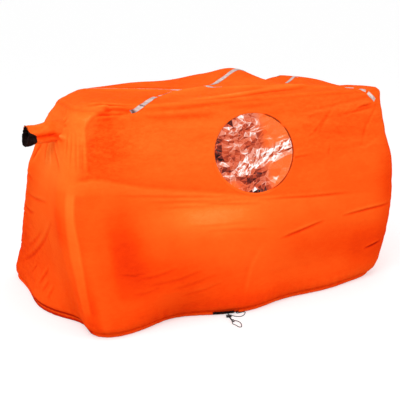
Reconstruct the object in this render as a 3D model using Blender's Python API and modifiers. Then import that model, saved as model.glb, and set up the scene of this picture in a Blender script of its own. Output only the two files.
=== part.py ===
"""A group shelter bag of coated nylon, standing as it does with people sitting inside it.

Five sewn panels hang over an open base: front, back, two ends and a roof. A round clear window
is sewn behind the front, a breather sleeve with a black cuff stands out of the left end, and a
drawcord runs round the hem through a channel and out at the front to a cord lock.
The bag's length runs along X, its front faces -Y, and the ground is at z = 0.
"""

import math

import bmesh
import bpy
import numpy as np
from mathutils import Matrix, Vector
from mathutils.bvhtree import BVHTree

# Clearances
TOUCH = 0.0004  # between pieces that lie on each other
SEAM_GAP = 0.0006  # between two panels where they are sewn together

# Sheet materials, thicker than the real ones so that they can be solids
CLOTH = 0.0020
FILM = 0.0010
SEAM_TAPE = 0.0008
REFLECTIVE_TAPE = 0.0008
WEBBING = 0.0012

# Hem channel, a sewn tunnel that lies on the ground
CHANNEL_RADIUS = 0.006
CHANNEL_WALL = 0.0012
EDGE_SLANT = 0.7  # how far the cloth's slanting lower edge comes down, in cloth thicknesses
HEM_TOP = 2 * CHANNEL_RADIUS + EDGE_SLANT * CLOTH + TOUCH

# Level sections of the standing bag. Each row has the height above the hem channel, then x and y
# of the four corners before rounding: front left, front right, back right, back left.
SECTIONS = (
    (0.000, -0.763, -0.508, 0.778, -0.400, 0.763, 0.520, -0.721, 0.520),
    (0.031, -0.785, -0.535, 0.806, -0.430, 0.803, 0.545, -0.728, 0.535),
    (0.146, -0.802, -0.508, 0.846, -0.437, 0.838, 0.525, -0.707, 0.505),
    (0.306, -0.827, -0.465, 0.882, -0.435, 0.848, 0.490, -0.703, 0.450),
    (0.486, -0.832, -0.420, 0.886, -0.430, 0.848, 0.430, -0.704, 0.370),
    (0.666, -0.782, -0.370, 0.854, -0.408, 0.823, 0.355, -0.698, 0.280),
    (0.796, -0.737, -0.330, 0.837, -0.390, 0.793, 0.285, -0.661, 0.215),
    (0.848, -0.717, -0.305, 0.839, -0.382, 0.773, 0.250, -0.634, 0.190),
    (0.866, -0.692, -0.280, 0.831, -0.366, 0.751, 0.225, -0.602, 0.165),
)
# How far each corner's rounding reaches along the two sides, in the same order
CORNER_REACH = (0.160, 0.175, 0.200, 0.180)
ROOF_CROWN = 0.025
CROWN_REACH = 0.120

# Pushes that people and folds give the cloth: centre, reach and move, each x, y, z
KNEES = ((-0.002, -0.500, 0.260), (0.450, 0.300, 0.240), (0.000, -0.050, 0.000))
HEM_RECESS = ((-0.367, -0.470, 0.000), (0.150, 0.200, 0.100), (0.000, 0.060, 0.000))
HEM_BULGE = ((-0.043, -0.470, 0.000), (0.165, 0.200, 0.090), (0.000, -0.045, 0.000))
HEM_RIGHT = ((0.409, -0.430, 0.000), (0.200, 0.200, 0.090), (0.000, -0.036, 0.000))
END_RECESS = ((-0.752, -0.310, 0.000), (0.200, 0.120, 0.100), (0.045, 0.000, 0.000))
END_BULGE = ((-0.752, -0.020, 0.000), (0.200, 0.200, 0.120), (-0.048, 0.000, 0.000))
HEAD = ((0.238, 0.060, 0.900), (0.108, 0.170, 0.250), (0.000, 0.000, 0.052))
ROOF_BACK = ((-0.141, 0.120, 0.900), (0.300, 0.160, 0.250), (0.000, 0.000, 0.021))
ROOF_DIP = ((0.409, 0.100, 0.900), (0.130, 0.200, 0.250), (0.000, 0.000, -0.022))
ROOF_SAG = ((0.699, -0.090, 0.900), (0.190, 0.190, 0.250), (0.000, 0.000, -0.038))
PUSHES = (
    KNEES,
    HEM_RECESS,
    HEM_BULGE,
    HEM_RIGHT,
    END_RECESS,
    END_BULGE,
    HEAD,
    ROOF_BACK,
    ROOF_DIP,
    ROOF_SAG,
)

# Facets: steps along a long side, a short side and half a corner, and up the walls
LONG_STEPS = 17
SHORT_STEPS = 9
CORNER_STEPS = 3
WALL_LEVELS = (0, 1, 1.5, 2, 2.5, 3, 3.5, 4, 4.5, 5, 5.5, 6, 7, 8)

# Window, pulled a little wider than high by the wall
WINDOW_X = 0.049
WINDOW_Z = 0.659
WINDOW_WIDTH = 0.380
WINDOW_HEIGHT = 0.345
WINDOW_LAP = 0.012
WINDOW_CUT_DEPTH = 0.2
WINDOW_SEGMENTS = 48

# Breather sleeve in the left end
VENT_Y = -0.163
VENT_Z = 0.784
VENT_RADIUS = 0.043
VENT_WAIST = 0.003
VENT_DROOP = math.radians(3)
SLEEVE_LENGTH = 0.105
CUFF_LENGTH = 0.052
CUFF_FLARE = 0.003
ROOT_SLANT = math.radians(20)  # of the wall, across the thickness of the sleeve's root
VENT_CUT_DEPTH = 0.1
VENT_SEGMENTS = 24

# Seams and tapes
SEAM_TAPE_WIDTH = 0.020
TAPE_WIDTH = 0.025
# Ends of the two reflective tapes on the roof, in plan, and the clearance where they cross
TAPE_A = ((-0.502, -0.270), (0.648, 0.175))
TAPE_B = ((-0.542, 0.130), (0.718, -0.300))
CROSSING_GAP = 0.0005
TAPE_CUT_MARGIN = 0.05

# Seats, which lie on the ground inside the front and back hems
SEAT_LENGTH = 1.100
SEAT_DEPTH = 0.260
SEAT_THICKNESS = 0.002
SEAT_EDGE = 0.0049  # from the middle of the channel to the seat's sewn edge

# Drawcord, its exit at the front and the webbing that guards it
CORD_RADIUS = 0.0015
CORD_END_GAP = 0.0010
EXIT_LEFT = -0.152
EXIT_RIGHT = -0.097
GUARD_LEFT = -0.207
GUARD_RIGHT = -0.119
GUARD_BOTTOM = 0.0038
GUARD_HEIGHT = 0.010

# Cord lock, lying on its side. Lengths run along its own axis from where the cords cross it.
LOCK_CENTRE = (-0.162, -0.545)
LOCK_HEADING = math.radians(-17.5)
BARREL_RADIUS = 0.0060
BARREL_BORE = 0.0046
BARREL_BACK = -0.0110
BARREL_FRONT = 0.0060
BARREL_BASE = 0.0015
BARREL_RIM_CHAMFER = 0.0005
BARREL_BACK_CHAMFER = 0.0015
PLUNGER_RADIUS = 0.0043
PLUNGER_BACK = -0.0054
PLUNGER_CHAMFER = 0.0004
HEAD_RADIUS = 0.0056
HEAD_LENGTH = 0.0022
HEAD_CHAMFER = (0.0010, 0.0008)  # across and along the plunger
LOCK_TRAVEL = 0.0025
LOCK_SLIDE = 0.030
CORD_PITCH = 0.0033
SLOT_HEIGHT = 0.0038
SLOT_ROUNDING = 0.4  # of the slot's height
SPRING_RADIUS = 0.0032
SPRING_WIRE = 0.00025
SPRING_TURNS = 3
LOCK_SEGMENTS = 24

# Cord ends: the knot lies on the line of the strands, past the lock's slide
KNOT_DISTANCE = 0.0545
KNOT_OFFSET = 0.003
KNOT_RADII = (0.0065, 0.0050, 0.0056)

# Routes of the free cord, by hand, from the channel to the lock and round the tail loop
LEFT_ROUTE = (
    (-0.1465, -0.5015, 0.0026),
    (-0.1430, -0.5065, 0.0017),
    (-0.1435, -0.5125, 0.0016),
    (-0.1475, -0.5185, 0.0016),
    (-0.1540, -0.5240, 0.0026),
    (-0.1590, -0.5300, 0.0052),
)
RIGHT_ROUTE = (
    (-0.1025, -0.5145, 0.0024),
    (-0.1075, -0.5180, 0.0017),
    (-0.1060, -0.5225, 0.0016),
    (-0.0985, -0.5245, 0.0016),
    (-0.0880, -0.5240, 0.0016),
    (-0.0770, -0.5240, 0.0016),
    (-0.0710, -0.5295, 0.0016),
    (-0.0765, -0.5395, 0.0016),
    (-0.0930, -0.5550, 0.0016),
    (-0.1100, -0.5630, 0.0016),
    (-0.1240, -0.5590, 0.0016),
    (-0.1350, -0.5465, 0.0017),
    (-0.1420, -0.5340, 0.0024),
    (-0.1490, -0.5275, 0.0040),
    (-0.1555, -0.5300, 0.0060),
)
TAIL_ROUTE = (
    (-0.1805, -0.6019, 0.0052),
    (-0.1855, -0.6085, 0.0030),
    (-0.1890, -0.6160, 0.0016),
    (-0.1880, -0.6265, 0.0016),
    (-0.1860, -0.6385, 0.0016),
    (-0.1870, -0.6520, 0.0016),
    (-0.1845, -0.6625, 0.0016),
    (-0.1775, -0.6640, 0.0016),
    (-0.1690, -0.6530, 0.0016),
    (-0.1610, -0.6385, 0.0016),
    (-0.1555, -0.6235, 0.0016),
    (-0.1545, -0.6100, 0.0017),
    (-0.1575, -0.6025, 0.0026),
    (-0.1630, -0.6002, 0.0044),
    (-0.1689, -0.6000, 0.0058),
)
CORD_STEP = 2.5  # diameters between two rings of a cord
LOCK_APPROACH = 0.008  # straight cord before the middle of the lock

ORANGE = (0.95, 0.13, 0.015)
BLACK = (0.02, 0.02, 0.022)


def clear_scene():
    for obj in list(bpy.data.objects):
        bpy.data.objects.remove(obj, do_unlink=True)


def new_collection(name):
    collection = bpy.data.collections.new(name)
    bpy.context.scene.collection.children.link(collection)
    return collection


def new_material(name, color, roughness, metallic=0.0, alpha=1.0):
    material = bpy.data.materials.new(name)
    material.use_nodes = True
    shader = material.node_tree.nodes["Principled BSDF"]
    shader.inputs["Base Color"].default_value = (*color, 1)
    shader.inputs["Roughness"].default_value = roughness
    shader.inputs["Metallic"].default_value = metallic
    shader.inputs["Alpha"].default_value = alpha
    return material


# Skin of the bag, as grids of points


def read_rows(table, at):
    """Rows of the table read at fractional positions, on a smooth curve through every row."""
    table = np.asarray(table, float)
    ends = np.vstack([2 * table[0] - table[1], table, 2 * table[-1] - table[-2]])
    rows = []
    for position in at:
        i = min(int(position), len(table) - 2)
        f = position - i
        p0, p1, p2, p3 = ends[i : i + 4]
        rows.append(
            p1
            + 0.5 * f * (p2 - p0)
            + 0.5 * f**2 * (2 * p0 - 5 * p1 + 4 * p2 - p3)
            + 0.5 * f**3 * (3 * p1 - p0 - 3 * p2 + p3)
        )
    return np.array(rows)


def toward(start, end, distance):
    return start + (end - start) / np.linalg.norm(end - start) * distance


def bend(start, corner, end, at):
    at = at[:, None]
    return start * (1 - at) ** 2 + 2 * corner * at * (1 - at) + end * at**2


def level_side(corners, side, steps):
    """Points of one side of a level section, from the middle of one corner to the next."""
    before, first, second, after = (corners[(side + k) % 4] for k in (-1, 0, 1, 2))
    near, far = CORNER_REACH[side], CORNER_REACH[(side + 1) % 4]
    start = toward(first, second, near)
    end = toward(second, first, far)
    half = np.linspace(0, 0.5, CORNER_STEPS + 1)
    opening = bend(toward(first, before, near), first, start, half + 0.5)
    closing = bend(end, second, toward(second, after, far), half)
    straight = start + (end - start) * np.linspace(0, 1, steps + 1)[:, None]
    return np.vstack([opening[:-1], straight, closing[1:]])


def pushed(points):
    moved = points.copy()
    for centre, reach, move in PUSHES:
        weight = np.exp(-(((points - centre) / np.array(reach)) ** 2).sum(-1))
        moved += weight[..., None] * np.array(move)
    return moved


def wall_grid(side, steps):
    grid = []
    for row in read_rows(SECTIONS, WALL_LEVELS):
        points = level_side(row[1:].reshape(4, 2), side, steps)
        grid.append(np.column_stack([points, np.full(len(points), HEM_TOP + row[0])]))
    return np.array(grid)


def run_of(points):
    """How far along a line of points each one lies, from 0 to 1, and the line's length."""
    lengths = np.linalg.norm(np.diff(points, axis=0), axis=1)
    along = np.concatenate([[0], np.cumsum(lengths)])
    return along / along[-1], along[-1]


def roof_grid(front, right, back, left):
    """A crowned sheet between the top rows of the four walls."""
    front, right, back, left = front[-1], right[-1], back[-1][::-1], left[-1][::-1]
    (across, length), (across_back, _) = run_of(front), run_of(back)
    (deep, depth), (deep_right, _) = run_of(left), run_of(right)
    u = ((across + across_back) / 2)[None, :]
    v = ((deep + deep_right) / 2)[:, None]
    u3, v3 = u[..., None], v[..., None]
    sheet = (1 - v3) * front[None] + v3 * back[None] + (1 - u3) * left[:, None] + u3 * right[:, None]
    sheet -= (1 - u3) * (1 - v3) * front[0] + u3 * (1 - v3) * front[-1]
    sheet -= (1 - u3) * v3 * back[0] + u3 * v3 * back[-1]
    rise_x = np.minimum(np.minimum(u, 1 - u) * length / CROWN_REACH, 1)
    rise_y = np.minimum(np.minimum(v, 1 - v) * depth / CROWN_REACH, 1)
    sheet[..., 2] += ROOF_CROWN * np.sin(rise_x * math.pi / 2) * np.sin(rise_y * math.pi / 2)
    return sheet


def skin():
    """Grids of the cloth's inner face: rows go up a wall, and towards the back on the roof."""
    walls = [wall_grid(k, steps) for k, steps in enumerate((LONG_STEPS, SHORT_STEPS) * 2)]
    grids = dict(zip(("front", "right", "back", "left"), map(pushed, walls)))
    grids["roof"] = pushed(roof_grid(*walls))
    return grids


def normals(grid):
    along = np.gradient(grid, axis=1)
    up = np.gradient(grid, axis=0)
    outward = np.cross(along, up)
    return outward / np.linalg.norm(outward, axis=-1, keepdims=True)


def raised(grid, distance):
    return grid + normals(grid) * distance


def drawn_in(grid, distance):
    """The grid with its edges drawn in, which leaves a gap at each seam."""
    grid = grid.copy()
    for lines in (grid, grid.transpose(1, 0, 2)):
        for edge, inner in ((0, 1), (-1, -2)):
            step = lines[inner] - lines[edge]
            lines[edge] += step / np.linalg.norm(step, axis=-1, keepdims=True) * distance
    return grid


# Building blocks


def place(name, mesh, material, collection, parent=None, matrix=None):
    obj = bpy.data.objects.new(name, mesh)
    collection.objects.link(obj)
    if material:
        mesh.materials.append(material)
    obj.parent = parent
    if matrix is not None:
        obj.matrix_local = matrix
    return obj


def mesh_of(name, bm, smooth_below=None):
    mesh = bpy.data.meshes.new(name)
    bm.to_mesh(mesh)
    bm.free()
    if smooth_below:
        mesh.shade_smooth()
        mesh.set_sharp_from_angle(angle=smooth_below)
    return mesh


def sheet(name, grid, thickness, material, collection, parent=None, matrix=None, tube=False):
    """A cloth piece: a flat grid moved onto the given points and thickened outwards."""
    rows, columns = grid.shape[:2]
    bm = bmesh.new()
    bmesh.ops.create_grid(bm, x_segments=columns - 1, y_segments=rows - 1, size=1)
    for vert in bm.verts:
        column = round((vert.co.x + 1) / 2 * (columns - 1))
        row = round((vert.co.y + 1) / 2 * (rows - 1))
        vert.co = grid[row, column]
    if tube:
        bmesh.ops.remove_doubles(bm, verts=bm.verts, dist=1e-6)
    bmesh.ops.triangulate(bm, faces=bm.faces, quad_method="FIXED")
    mesh = mesh_of(name, bm, math.radians(60))
    obj = place(name, mesh, material, collection, parent, matrix)
    solid = obj.modifiers.new("thickness", "SOLIDIFY")
    solid.thickness = thickness
    solid.offset = 1
    return obj


def cutter(name, bm, matrix, cutters):
    obj = place(name, mesh_of(name, bm), None, cutters, matrix=matrix)
    obj.hide_render = True
    obj.display_type = "WIRE"
    return obj


def cut(obj, tool, operation="DIFFERENCE"):
    boolean = obj.modifiers.new(operation.lower(), "BOOLEAN")
    boolean.operation = operation
    boolean.object = tool


def disc(radius_x, radius_y, length, segments):
    """A round or oval prism about its own Z axis."""
    bm = bmesh.new()
    bmesh.ops.create_cone(
        bm, cap_ends=True, segments=segments, radius1=1, radius2=1, depth=length
    )
    bmesh.ops.scale(bm, vec=(radius_x, radius_y, 1), verts=bm.verts)
    return bm


def box(low, high):
    low, high = Vector(low), Vector(high)
    bm = bmesh.new()
    bmesh.ops.create_cube(bm, size=1)
    bmesh.ops.scale(bm, vec=high - low, verts=bm.verts)
    bmesh.ops.translate(bm, vec=(low + high) / 2, verts=bm.verts)
    return bm


def turned(name, profile, material, collection, parent):
    """A round piece about its own Z axis; the profile's outer side runs from top to bottom."""
    bm = bmesh.new()
    verts = [bm.verts.new((radius, 0, height)) for radius, height in profile]
    for first, second in zip(verts, verts[1:]):
        bm.edges.new((first, second))
    obj = place(name, mesh_of(name, bm), material, collection, parent)
    screw = obj.modifiers.new("turn", "SCREW")
    screw.steps = screw.render_steps = LOCK_SEGMENTS
    screw.use_merge_vertices = True
    screw.merge_threshold = 1e-5
    return obj


def smooth_route(points, step):
    """Evenly spaced points on a smooth curve through the route's own points."""
    fine = read_rows(points, np.linspace(0, len(points) - 1, 20 * len(points)))
    along, length = run_of(fine)
    wanted = np.linspace(0, 1, max(2, round(length / step)) + 1)
    return np.column_stack([np.interp(wanted, along, fine[:, k]) for k in range(3)])


def tube(name, points, radius, material, collection, parent=None, caps=True, resolution=2):
    curve = bpy.data.curves.new(name, "CURVE")
    curve.dimensions = "3D"
    curve.bevel_depth = radius
    curve.bevel_resolution = resolution
    curve.use_fill_caps = caps
    spline = curve.splines.new("POLY")
    spline.points.add(len(points) - 1)
    for point, co in zip(spline.points, points):
        point.co = (*co, 1)
    curve.materials.append(material)
    obj = bpy.data.objects.new(name, curve)
    obj.parent = parent
    collection.objects.link(obj)
    return obj


# Panels, window and seams


def basis(origin, z_axis, x_axis):
    """A frame at the origin with the given Z axis and X as near the given one as it can be."""
    z_axis = Vector(z_axis).normalized()
    y_axis = z_axis.cross(Vector(x_axis)).normalized()
    x_axis = y_axis.cross(z_axis)
    frame = Matrix((x_axis, y_axis, z_axis)).transposed().to_4x4()
    frame.translation = origin
    return frame


def surface(grid):
    rows, columns = grid.shape[:2]
    index = np.arange(rows * columns).reshape(rows, columns)
    corners = (index[:-1, :-1], index[:-1, 1:], index[1:, 1:], index[1:, :-1])
    faces = np.stack(corners, -1).reshape(-1, 4)
    return BVHTree.FromPolygons(grid.reshape(-1, 3).tolist(), faces.tolist())


def build_panels(grids, material, parts):
    names = {
        "front": "front_wall",
        "right": "right_end_wall",
        "back": "back_wall",
        "left": "left_end_wall",
        "roof": "roof_panel",
    }
    return {
        key: sheet(name, drawn_in(grids[key], SEAM_GAP / 2), CLOTH, material, parts)
        for key, name in names.items()
    }


def build_window(grids, wall, material, parts, cutters):
    """The opening, and the clear film that is sewn behind it with a lap all round."""
    start = (WINDOW_X, 2 * grids["front"][..., 1].min(), WINDOW_Z)
    point, normal, _, _ = surface(grids["front"]).ray_cast(start, (0, 1, 0))
    if normal.y > 0:
        normal.negate()
    frame = basis(point, normal, (1, 0, 0))
    width, height = WINDOW_WIDTH / 2, WINDOW_HEIGHT / 2
    opening = disc(width, height, WINDOW_CUT_DEPTH, WINDOW_SEGMENTS)
    cut(wall, cutter("window_opening_cutter", opening, frame, cutters))
    film = raised(grids["front"], -TOUCH - FILM)
    pane = sheet("window_pane", film, FILM, material, parts)
    edge = disc(width + WINDOW_LAP, height + WINDOW_LAP, WINDOW_CUT_DEPTH, WINDOW_SEGMENTS)
    cut(pane, cutter("window_film_cutter", edge, frame, cutters), "INTERSECT")


def build_seam_tapes(grids, material, parts):
    """Tapes inside the bag: one up each corner seam and one round the top of the walls."""
    sides = ("front", "right", "back", "left")
    lift = -TOUCH - SEAM_TAPE
    half = SEAM_TAPE_WIDTH / 2
    names = ("front_right", "back_right", "back_left", "front_left")
    for k, name in enumerate(names):
        first = raised(grids[sides[k]], lift)
        second = raised(grids[sides[(k + 1) % 4]], lift)
        middle = (first[:-2, -1] + second[:-2, 0]) / 2
        lines = []
        for neighbour in (first[:-2, -2], second[:-2, 1]):
            step = neighbour - middle
            lines.append(middle + step / np.linalg.norm(step, axis=-1, keepdims=True) * half)
        strip = np.stack([lines[0], middle, lines[1]], axis=1)
        sheet(f"seam_tape_{name}", strip, SEAM_TAPE, material, parts)
    band = [raised(grids[side], lift)[-2:, 1:-1] for side in sides]
    sheet("roof_seam_tape", np.concatenate(band, axis=1), SEAM_TAPE, material, parts)


def build_reflective_tapes(grids, material, parts, cutters):
    """Two tapes that cross on the roof; the second is in two lengths that meet the first."""
    lying = raised(grids["roof"], CLOTH + TOUCH)
    (a0, a1), (b0, b1) = (np.array(TAPE_A), np.array(TAPE_B))
    a_way, b_way = (a1 - a0) / np.linalg.norm(a1 - a0), (b1 - b0) / np.linalg.norm(b1 - b0)
    cross = a0[0] * a_way[1] - a0[1] * a_way[0] - (b0[0] * a_way[1] - b0[1] * a_way[0])
    reach = cross / (b_way[0] * a_way[1] - b_way[1] * a_way[0])
    crossing = b0 + b_way * reach
    slant = abs(a_way[0] * b_way[1] - a_way[1] * b_way[0])
    along = abs(a_way @ b_way)
    half = TAPE_WIDTH / 2
    clear = (half + CROSSING_GAP + half * along) / slant
    lengths = {
        "reflective_tape_a": (a0, a1),
        "reflective_tape_b_left": (b0, crossing - b_way * clear),
        "reflective_tape_b_right": (crossing + b_way * clear, b1),
    }
    height = grids["roof"][..., 2]
    low, high = height.min() - TAPE_CUT_MARGIN, height.max() + TAPE_CUT_MARGIN
    for name, (start, end) in lengths.items():
        tape = sheet(name, lying, REFLECTIVE_TAPE, material, parts)
        span = Vector((*(end - start), 0))
        frame = basis(Vector((*start, 0)), (0, 0, 1), span)
        prism = box((0, -half, low), (span.length, half, high))
        cut(tape, cutter(f"{name}_cutter", prism, frame, cutters), "INTERSECT")


# Hem, seats and drawcord


def front_hem(grids, left, right):
    """The hem's line in plan between two places on the front, with the points in between."""
    line = grids["front"][0][:, :2]
    inner = line[(line[:, 0] > left) & (line[:, 0] < right)]
    ends = [(x, np.interp(x, line[:, 0], line[:, 1])) for x in (left, right)]
    return np.vstack([ends[0], inner, ends[1]])


def offset(line, distance):
    """A line in plan moved towards the back by the given distance across its own course."""
    slope = np.gradient(line[:, 1], line[:, 0])
    return line + np.column_stack([0 * slope, distance * np.sqrt(1 + slope**2)])


def hem_route(grids, height):
    """The hem from the right of the cord exit all the way round to its left."""
    front = grids["front"][0]
    first = front_hem(grids, EXIT_RIGHT, front[-1, 0])
    last = front_hem(grids, front[0, 0], EXIT_LEFT)
    others = [grids[side][0][1:, :2] for side in ("right", "back", "left")]
    line = np.vstack([first, *others, last[1:]])
    return np.column_stack([line, np.full(len(line), height)])


def build_hem(grids, cloth, black, parts):
    """The channel is an open-ended tunnel, and the drawcord lies along its floor."""
    route = hem_route(grids, CHANNEL_RADIUS)
    pipe = tube("hem_channel_curve", route, CHANNEL_RADIUS, cloth, parts, caps=False)
    graph = bpy.context.evaluated_depsgraph_get()
    mesh = bpy.data.meshes.new_from_object(pipe.evaluated_get(graph), depsgraph=graph)
    bpy.data.objects.remove(pipe, do_unlink=True)
    mesh.name = "hem_channel"
    bm = bmesh.new()
    bm.from_mesh(mesh)
    bmesh.ops.remove_doubles(bm, verts=bm.verts, dist=1e-6)
    bmesh.ops.recalc_face_normals(bm, faces=bm.faces)
    bm.to_mesh(mesh)
    bm.free()
    channel = bpy.data.objects.new("hem_channel", mesh)
    parts.objects.link(channel)
    wall = channel.modifiers.new("wall", "SOLIDIFY")
    wall.thickness = CHANNEL_WALL
    wall.offset = -1
    level = CHANNEL_WALL + TOUCH + CORD_RADIUS
    tube("drawcord_in_hem", hem_route(grids, level), CORD_RADIUS, black, parts)
    line = offset(front_hem(grids, GUARD_LEFT, GUARD_RIGHT), -CHANNEL_RADIUS - TOUCH)
    rows = [
        np.column_stack([line, np.full(len(line), height)])
        for height in (GUARD_BOTTOM, GUARD_BOTTOM + GUARD_HEIGHT)
    ]
    sheet("hem_exit_webbing", np.stack(rows), WEBBING, black, parts)


def build_seats(grids, material, parts):
    """Two panels on the ground, each sewn along one long edge to the hem channel."""
    for side, way in (("front", 1), ("back", -1)):
        line = grids[side][0][:, :2][::way]
        line = line[np.abs(line[:, 0]) < SEAT_LENGTH / 2]
        edge = offset(line, way * SEAT_EDGE)
        inner = edge + (0, way * SEAT_DEPTH)
        grid = np.zeros((2, len(line), 3))
        grid[..., :2] = [edge, inner][::way]
        sheet(f"seat_panel_{side}", grid, SEAT_THICKNESS, material, parts)


# Breather sleeve


def build_vent(grids, wall, cloth, black, parts, cutters):
    """A short sleeve that can droop about the lowest point of its root, with a black cuff."""
    away = np.array((-math.cos(VENT_DROOP), 0, -math.sin(VENT_DROOP)))
    outer = surface(raised(grids["left"], CLOTH))
    far = -grids["left"][..., 0].min()

    def seat(offset):
        start = np.array((grids["left"][..., 0].min(), VENT_Y, VENT_Z)) + offset + away * far
        return np.array(outer.ray_cast(Vector(start), Vector(-away))[0])

    angles = np.linspace(0, 2 * math.pi, VENT_SEGMENTS + 1)
    upward = np.cross((0, 1, 0), away)
    ring = np.outer(np.cos(angles), (0, 1, 0)) + np.outer(np.sin(angles), upward)
    centre = seat(np.zeros(3))
    outside = VENT_RADIUS + CLOTH
    root = np.array([seat(step * outside) for step in ring])
    root = root - ring * CLOTH + away * (TOUCH + CLOTH * math.tan(ROOT_SLANT))
    hinge = root[np.argmin(root[:, 2])].copy()
    hinge[1] = VENT_Y
    pivot = bpy.data.objects.new("vent_pivot", None)
    parts.objects.link(pivot)
    pivot.location = hinge

    def ring_at(distance, radius):
        return centre + away * distance + ring * radius - hinge

    waist = ring_at(SLEEVE_LENGTH / 2, VENT_RADIUS - VENT_WAIST)
    mouth = ring_at(SLEEVE_LENGTH, VENT_RADIUS)
    sleeve = np.stack([root - hinge, waist, mouth])
    sheet("vent_sleeve", sleeve, CLOTH, cloth, parts, parent=pivot, tube=True)
    cuff = [
        ring_at(SLEEVE_LENGTH + TOUCH, VENT_RADIUS),
        ring_at(SLEEVE_LENGTH + CUFF_LENGTH / 2, VENT_RADIUS + CUFF_FLARE / 3),
        ring_at(SLEEVE_LENGTH + CUFF_LENGTH, VENT_RADIUS + CUFF_FLARE),
    ]
    sheet("vent_cuff", np.stack(cuff), CLOTH, black, parts, parent=pivot, tube=True)
    hole = disc(VENT_RADIUS, VENT_RADIUS, VENT_CUT_DEPTH, VENT_SEGMENTS)
    frame = basis(Vector(centre), away, (0, 1, 0))
    cut(wall, cutter("vent_hole_cutter", hole, frame, cutters))


# Cord lock and free cord


def slot_cutter(name, low, high, frame, cutters):
    """A slot with rounded edges across the lock, along its own X axis."""
    reach = 2 * BARREL_RADIUS
    bm = box((-reach, -SLOT_HEIGHT / 2, low), (reach, SLOT_HEIGHT / 2, high))
    edges = [e for e in bm.edges if abs(e.verts[0].co.x - e.verts[1].co.x) > reach]
    rounding = SLOT_HEIGHT * SLOT_ROUNDING
    bmesh.ops.bevel(bm, geom=edges, offset=rounding, segments=3, profile=0.5, affect="EDGES")
    return cutter(name, bm, frame, cutters)


def build_lock(plastic, steel, parts, cutters):
    """Barrel, sprung plunger and spring, about the lock's own Z axis; the cords cross along X."""
    axis = Vector((math.cos(LOCK_HEADING), math.sin(LOCK_HEADING), 0))
    cords = Vector((axis.y, -axis.x, 0))
    level = BARREL_RADIUS + TOUCH
    frame = basis(Vector((*LOCK_CENTRE, level)), axis, cords)
    pivot = bpy.data.objects.new("cord_lock_pivot", None)
    parts.objects.link(pivot)
    pivot.matrix_local = frame
    pinch = CORD_PITCH / 2 + CORD_RADIUS + TOUCH
    barrel = turned(
        "cord_lock_barrel",
        (
            (0, BARREL_BACK + BARREL_BASE),
            (BARREL_BORE, BARREL_BACK + BARREL_BASE),
            (BARREL_BORE, BARREL_FRONT),
            (BARREL_RADIUS - BARREL_RIM_CHAMFER, BARREL_FRONT),
            (BARREL_RADIUS, BARREL_FRONT - BARREL_RIM_CHAMFER),
            (BARREL_RADIUS, BARREL_BACK + BARREL_BACK_CHAMFER),
            (BARREL_RADIUS - BARREL_BACK_CHAMFER, BARREL_BACK),
            (0, BARREL_BACK),
        ),
        plastic,
        parts,
        pivot,
    )
    cut(barrel, slot_cutter("barrel_slot_cutter", -pinch - LOCK_TRAVEL / 2, pinch, frame, cutters))
    under_head = BARREL_FRONT + LOCK_TRAVEL + TOUCH
    plunger = turned(
        "cord_lock_plunger",
        (
            (0, under_head + HEAD_LENGTH),
            (HEAD_RADIUS - HEAD_CHAMFER[0], under_head + HEAD_LENGTH),
            (HEAD_RADIUS, under_head + HEAD_LENGTH - HEAD_CHAMFER[1]),
            (HEAD_RADIUS, under_head),
            (PLUNGER_RADIUS, under_head),
            (PLUNGER_RADIUS, PLUNGER_BACK + PLUNGER_CHAMFER),
            (PLUNGER_RADIUS - PLUNGER_CHAMFER, PLUNGER_BACK),
            (0, PLUNGER_BACK),
        ),
        plastic,
        parts,
        pivot,
    )
    cut(plunger, slot_cutter("plunger_slot_cutter", -pinch, pinch + LOCK_TRAVEL, frame, cutters))
    low = BARREL_BACK + BARREL_BASE + SPRING_WIRE + TOUCH
    high = PLUNGER_BACK - SPRING_WIRE - TOUCH
    turns = np.linspace(0, SPRING_TURNS, 12 * SPRING_TURNS + 1)
    coil = np.column_stack(
        [
            SPRING_RADIUS * np.cos(2 * math.pi * turns),
            SPRING_RADIUS * np.sin(2 * math.pi * turns),
            low + (high - low) * turns / SPRING_TURNS,
        ]
    )
    tube("cord_lock_spring", coil, SPRING_WIRE, steel, parts, parent=pivot, resolution=1)
    return frame


def build_cords(grids, frame, black, parts):
    """Two strands that cross the lock side by side, their knot, and the tail loop past it."""
    route = hem_route(grids, CHANNEL_WALL + TOUCH + CORD_RADIUS)
    step = CORD_STEP * 2 * CORD_RADIUS
    knot_radius = KNOT_RADII[1]
    for name, free, ends, offset in (
        ("drawcord_left_strand", LEFT_ROUTE, route[[-1, -2]], -CORD_PITCH / 2),
        ("drawcord_right_strand", RIGHT_ROUTE, route[:2], CORD_PITCH / 2),
    ):
        way = toward(0 * ends[0], ends[0] - ends[1], 1)
        leaving = [ends[0] + way * CORD_END_GAP, ends[0] + way * (CORD_END_GAP + CORD_RADIUS)]
        crossing = [
            tuple(frame @ Vector((distance, 0, offset)))
            for distance in (-LOCK_APPROACH, 0, LOCK_SLIDE / 2, LOCK_SLIDE)
        ]
        end = KNOT_DISTANCE - knot_radius - TOUCH
        crossing.append(tuple(frame @ Vector((end, 0, offset))))
        points = smooth_route([*leaving, *free, *crossing], step)
        tube(name, points, CORD_RADIUS, black, parts)
    across, along, height = KNOT_RADII
    centre = frame @ Vector((KNOT_DISTANCE, 0, KNOT_OFFSET))
    centre.z = height + TOUCH
    bm = bmesh.new()
    bmesh.ops.create_uvsphere(bm, u_segments=16, v_segments=10, radius=1)
    bmesh.ops.scale(bm, vec=(along, across, height), verts=bm.verts)
    turn = Matrix.Rotation(math.atan2(frame[1][0], frame[0][0]), 4, "Z")
    knot = place("drawcord_knot", mesh_of("drawcord_knot", bm, math.radians(60)), black, parts)
    knot.matrix_world = Matrix.Translation(centre) @ turn
    tube("drawcord_tail_loop", smooth_route(TAIL_ROUTE, step), CORD_RADIUS, black, parts)


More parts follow.
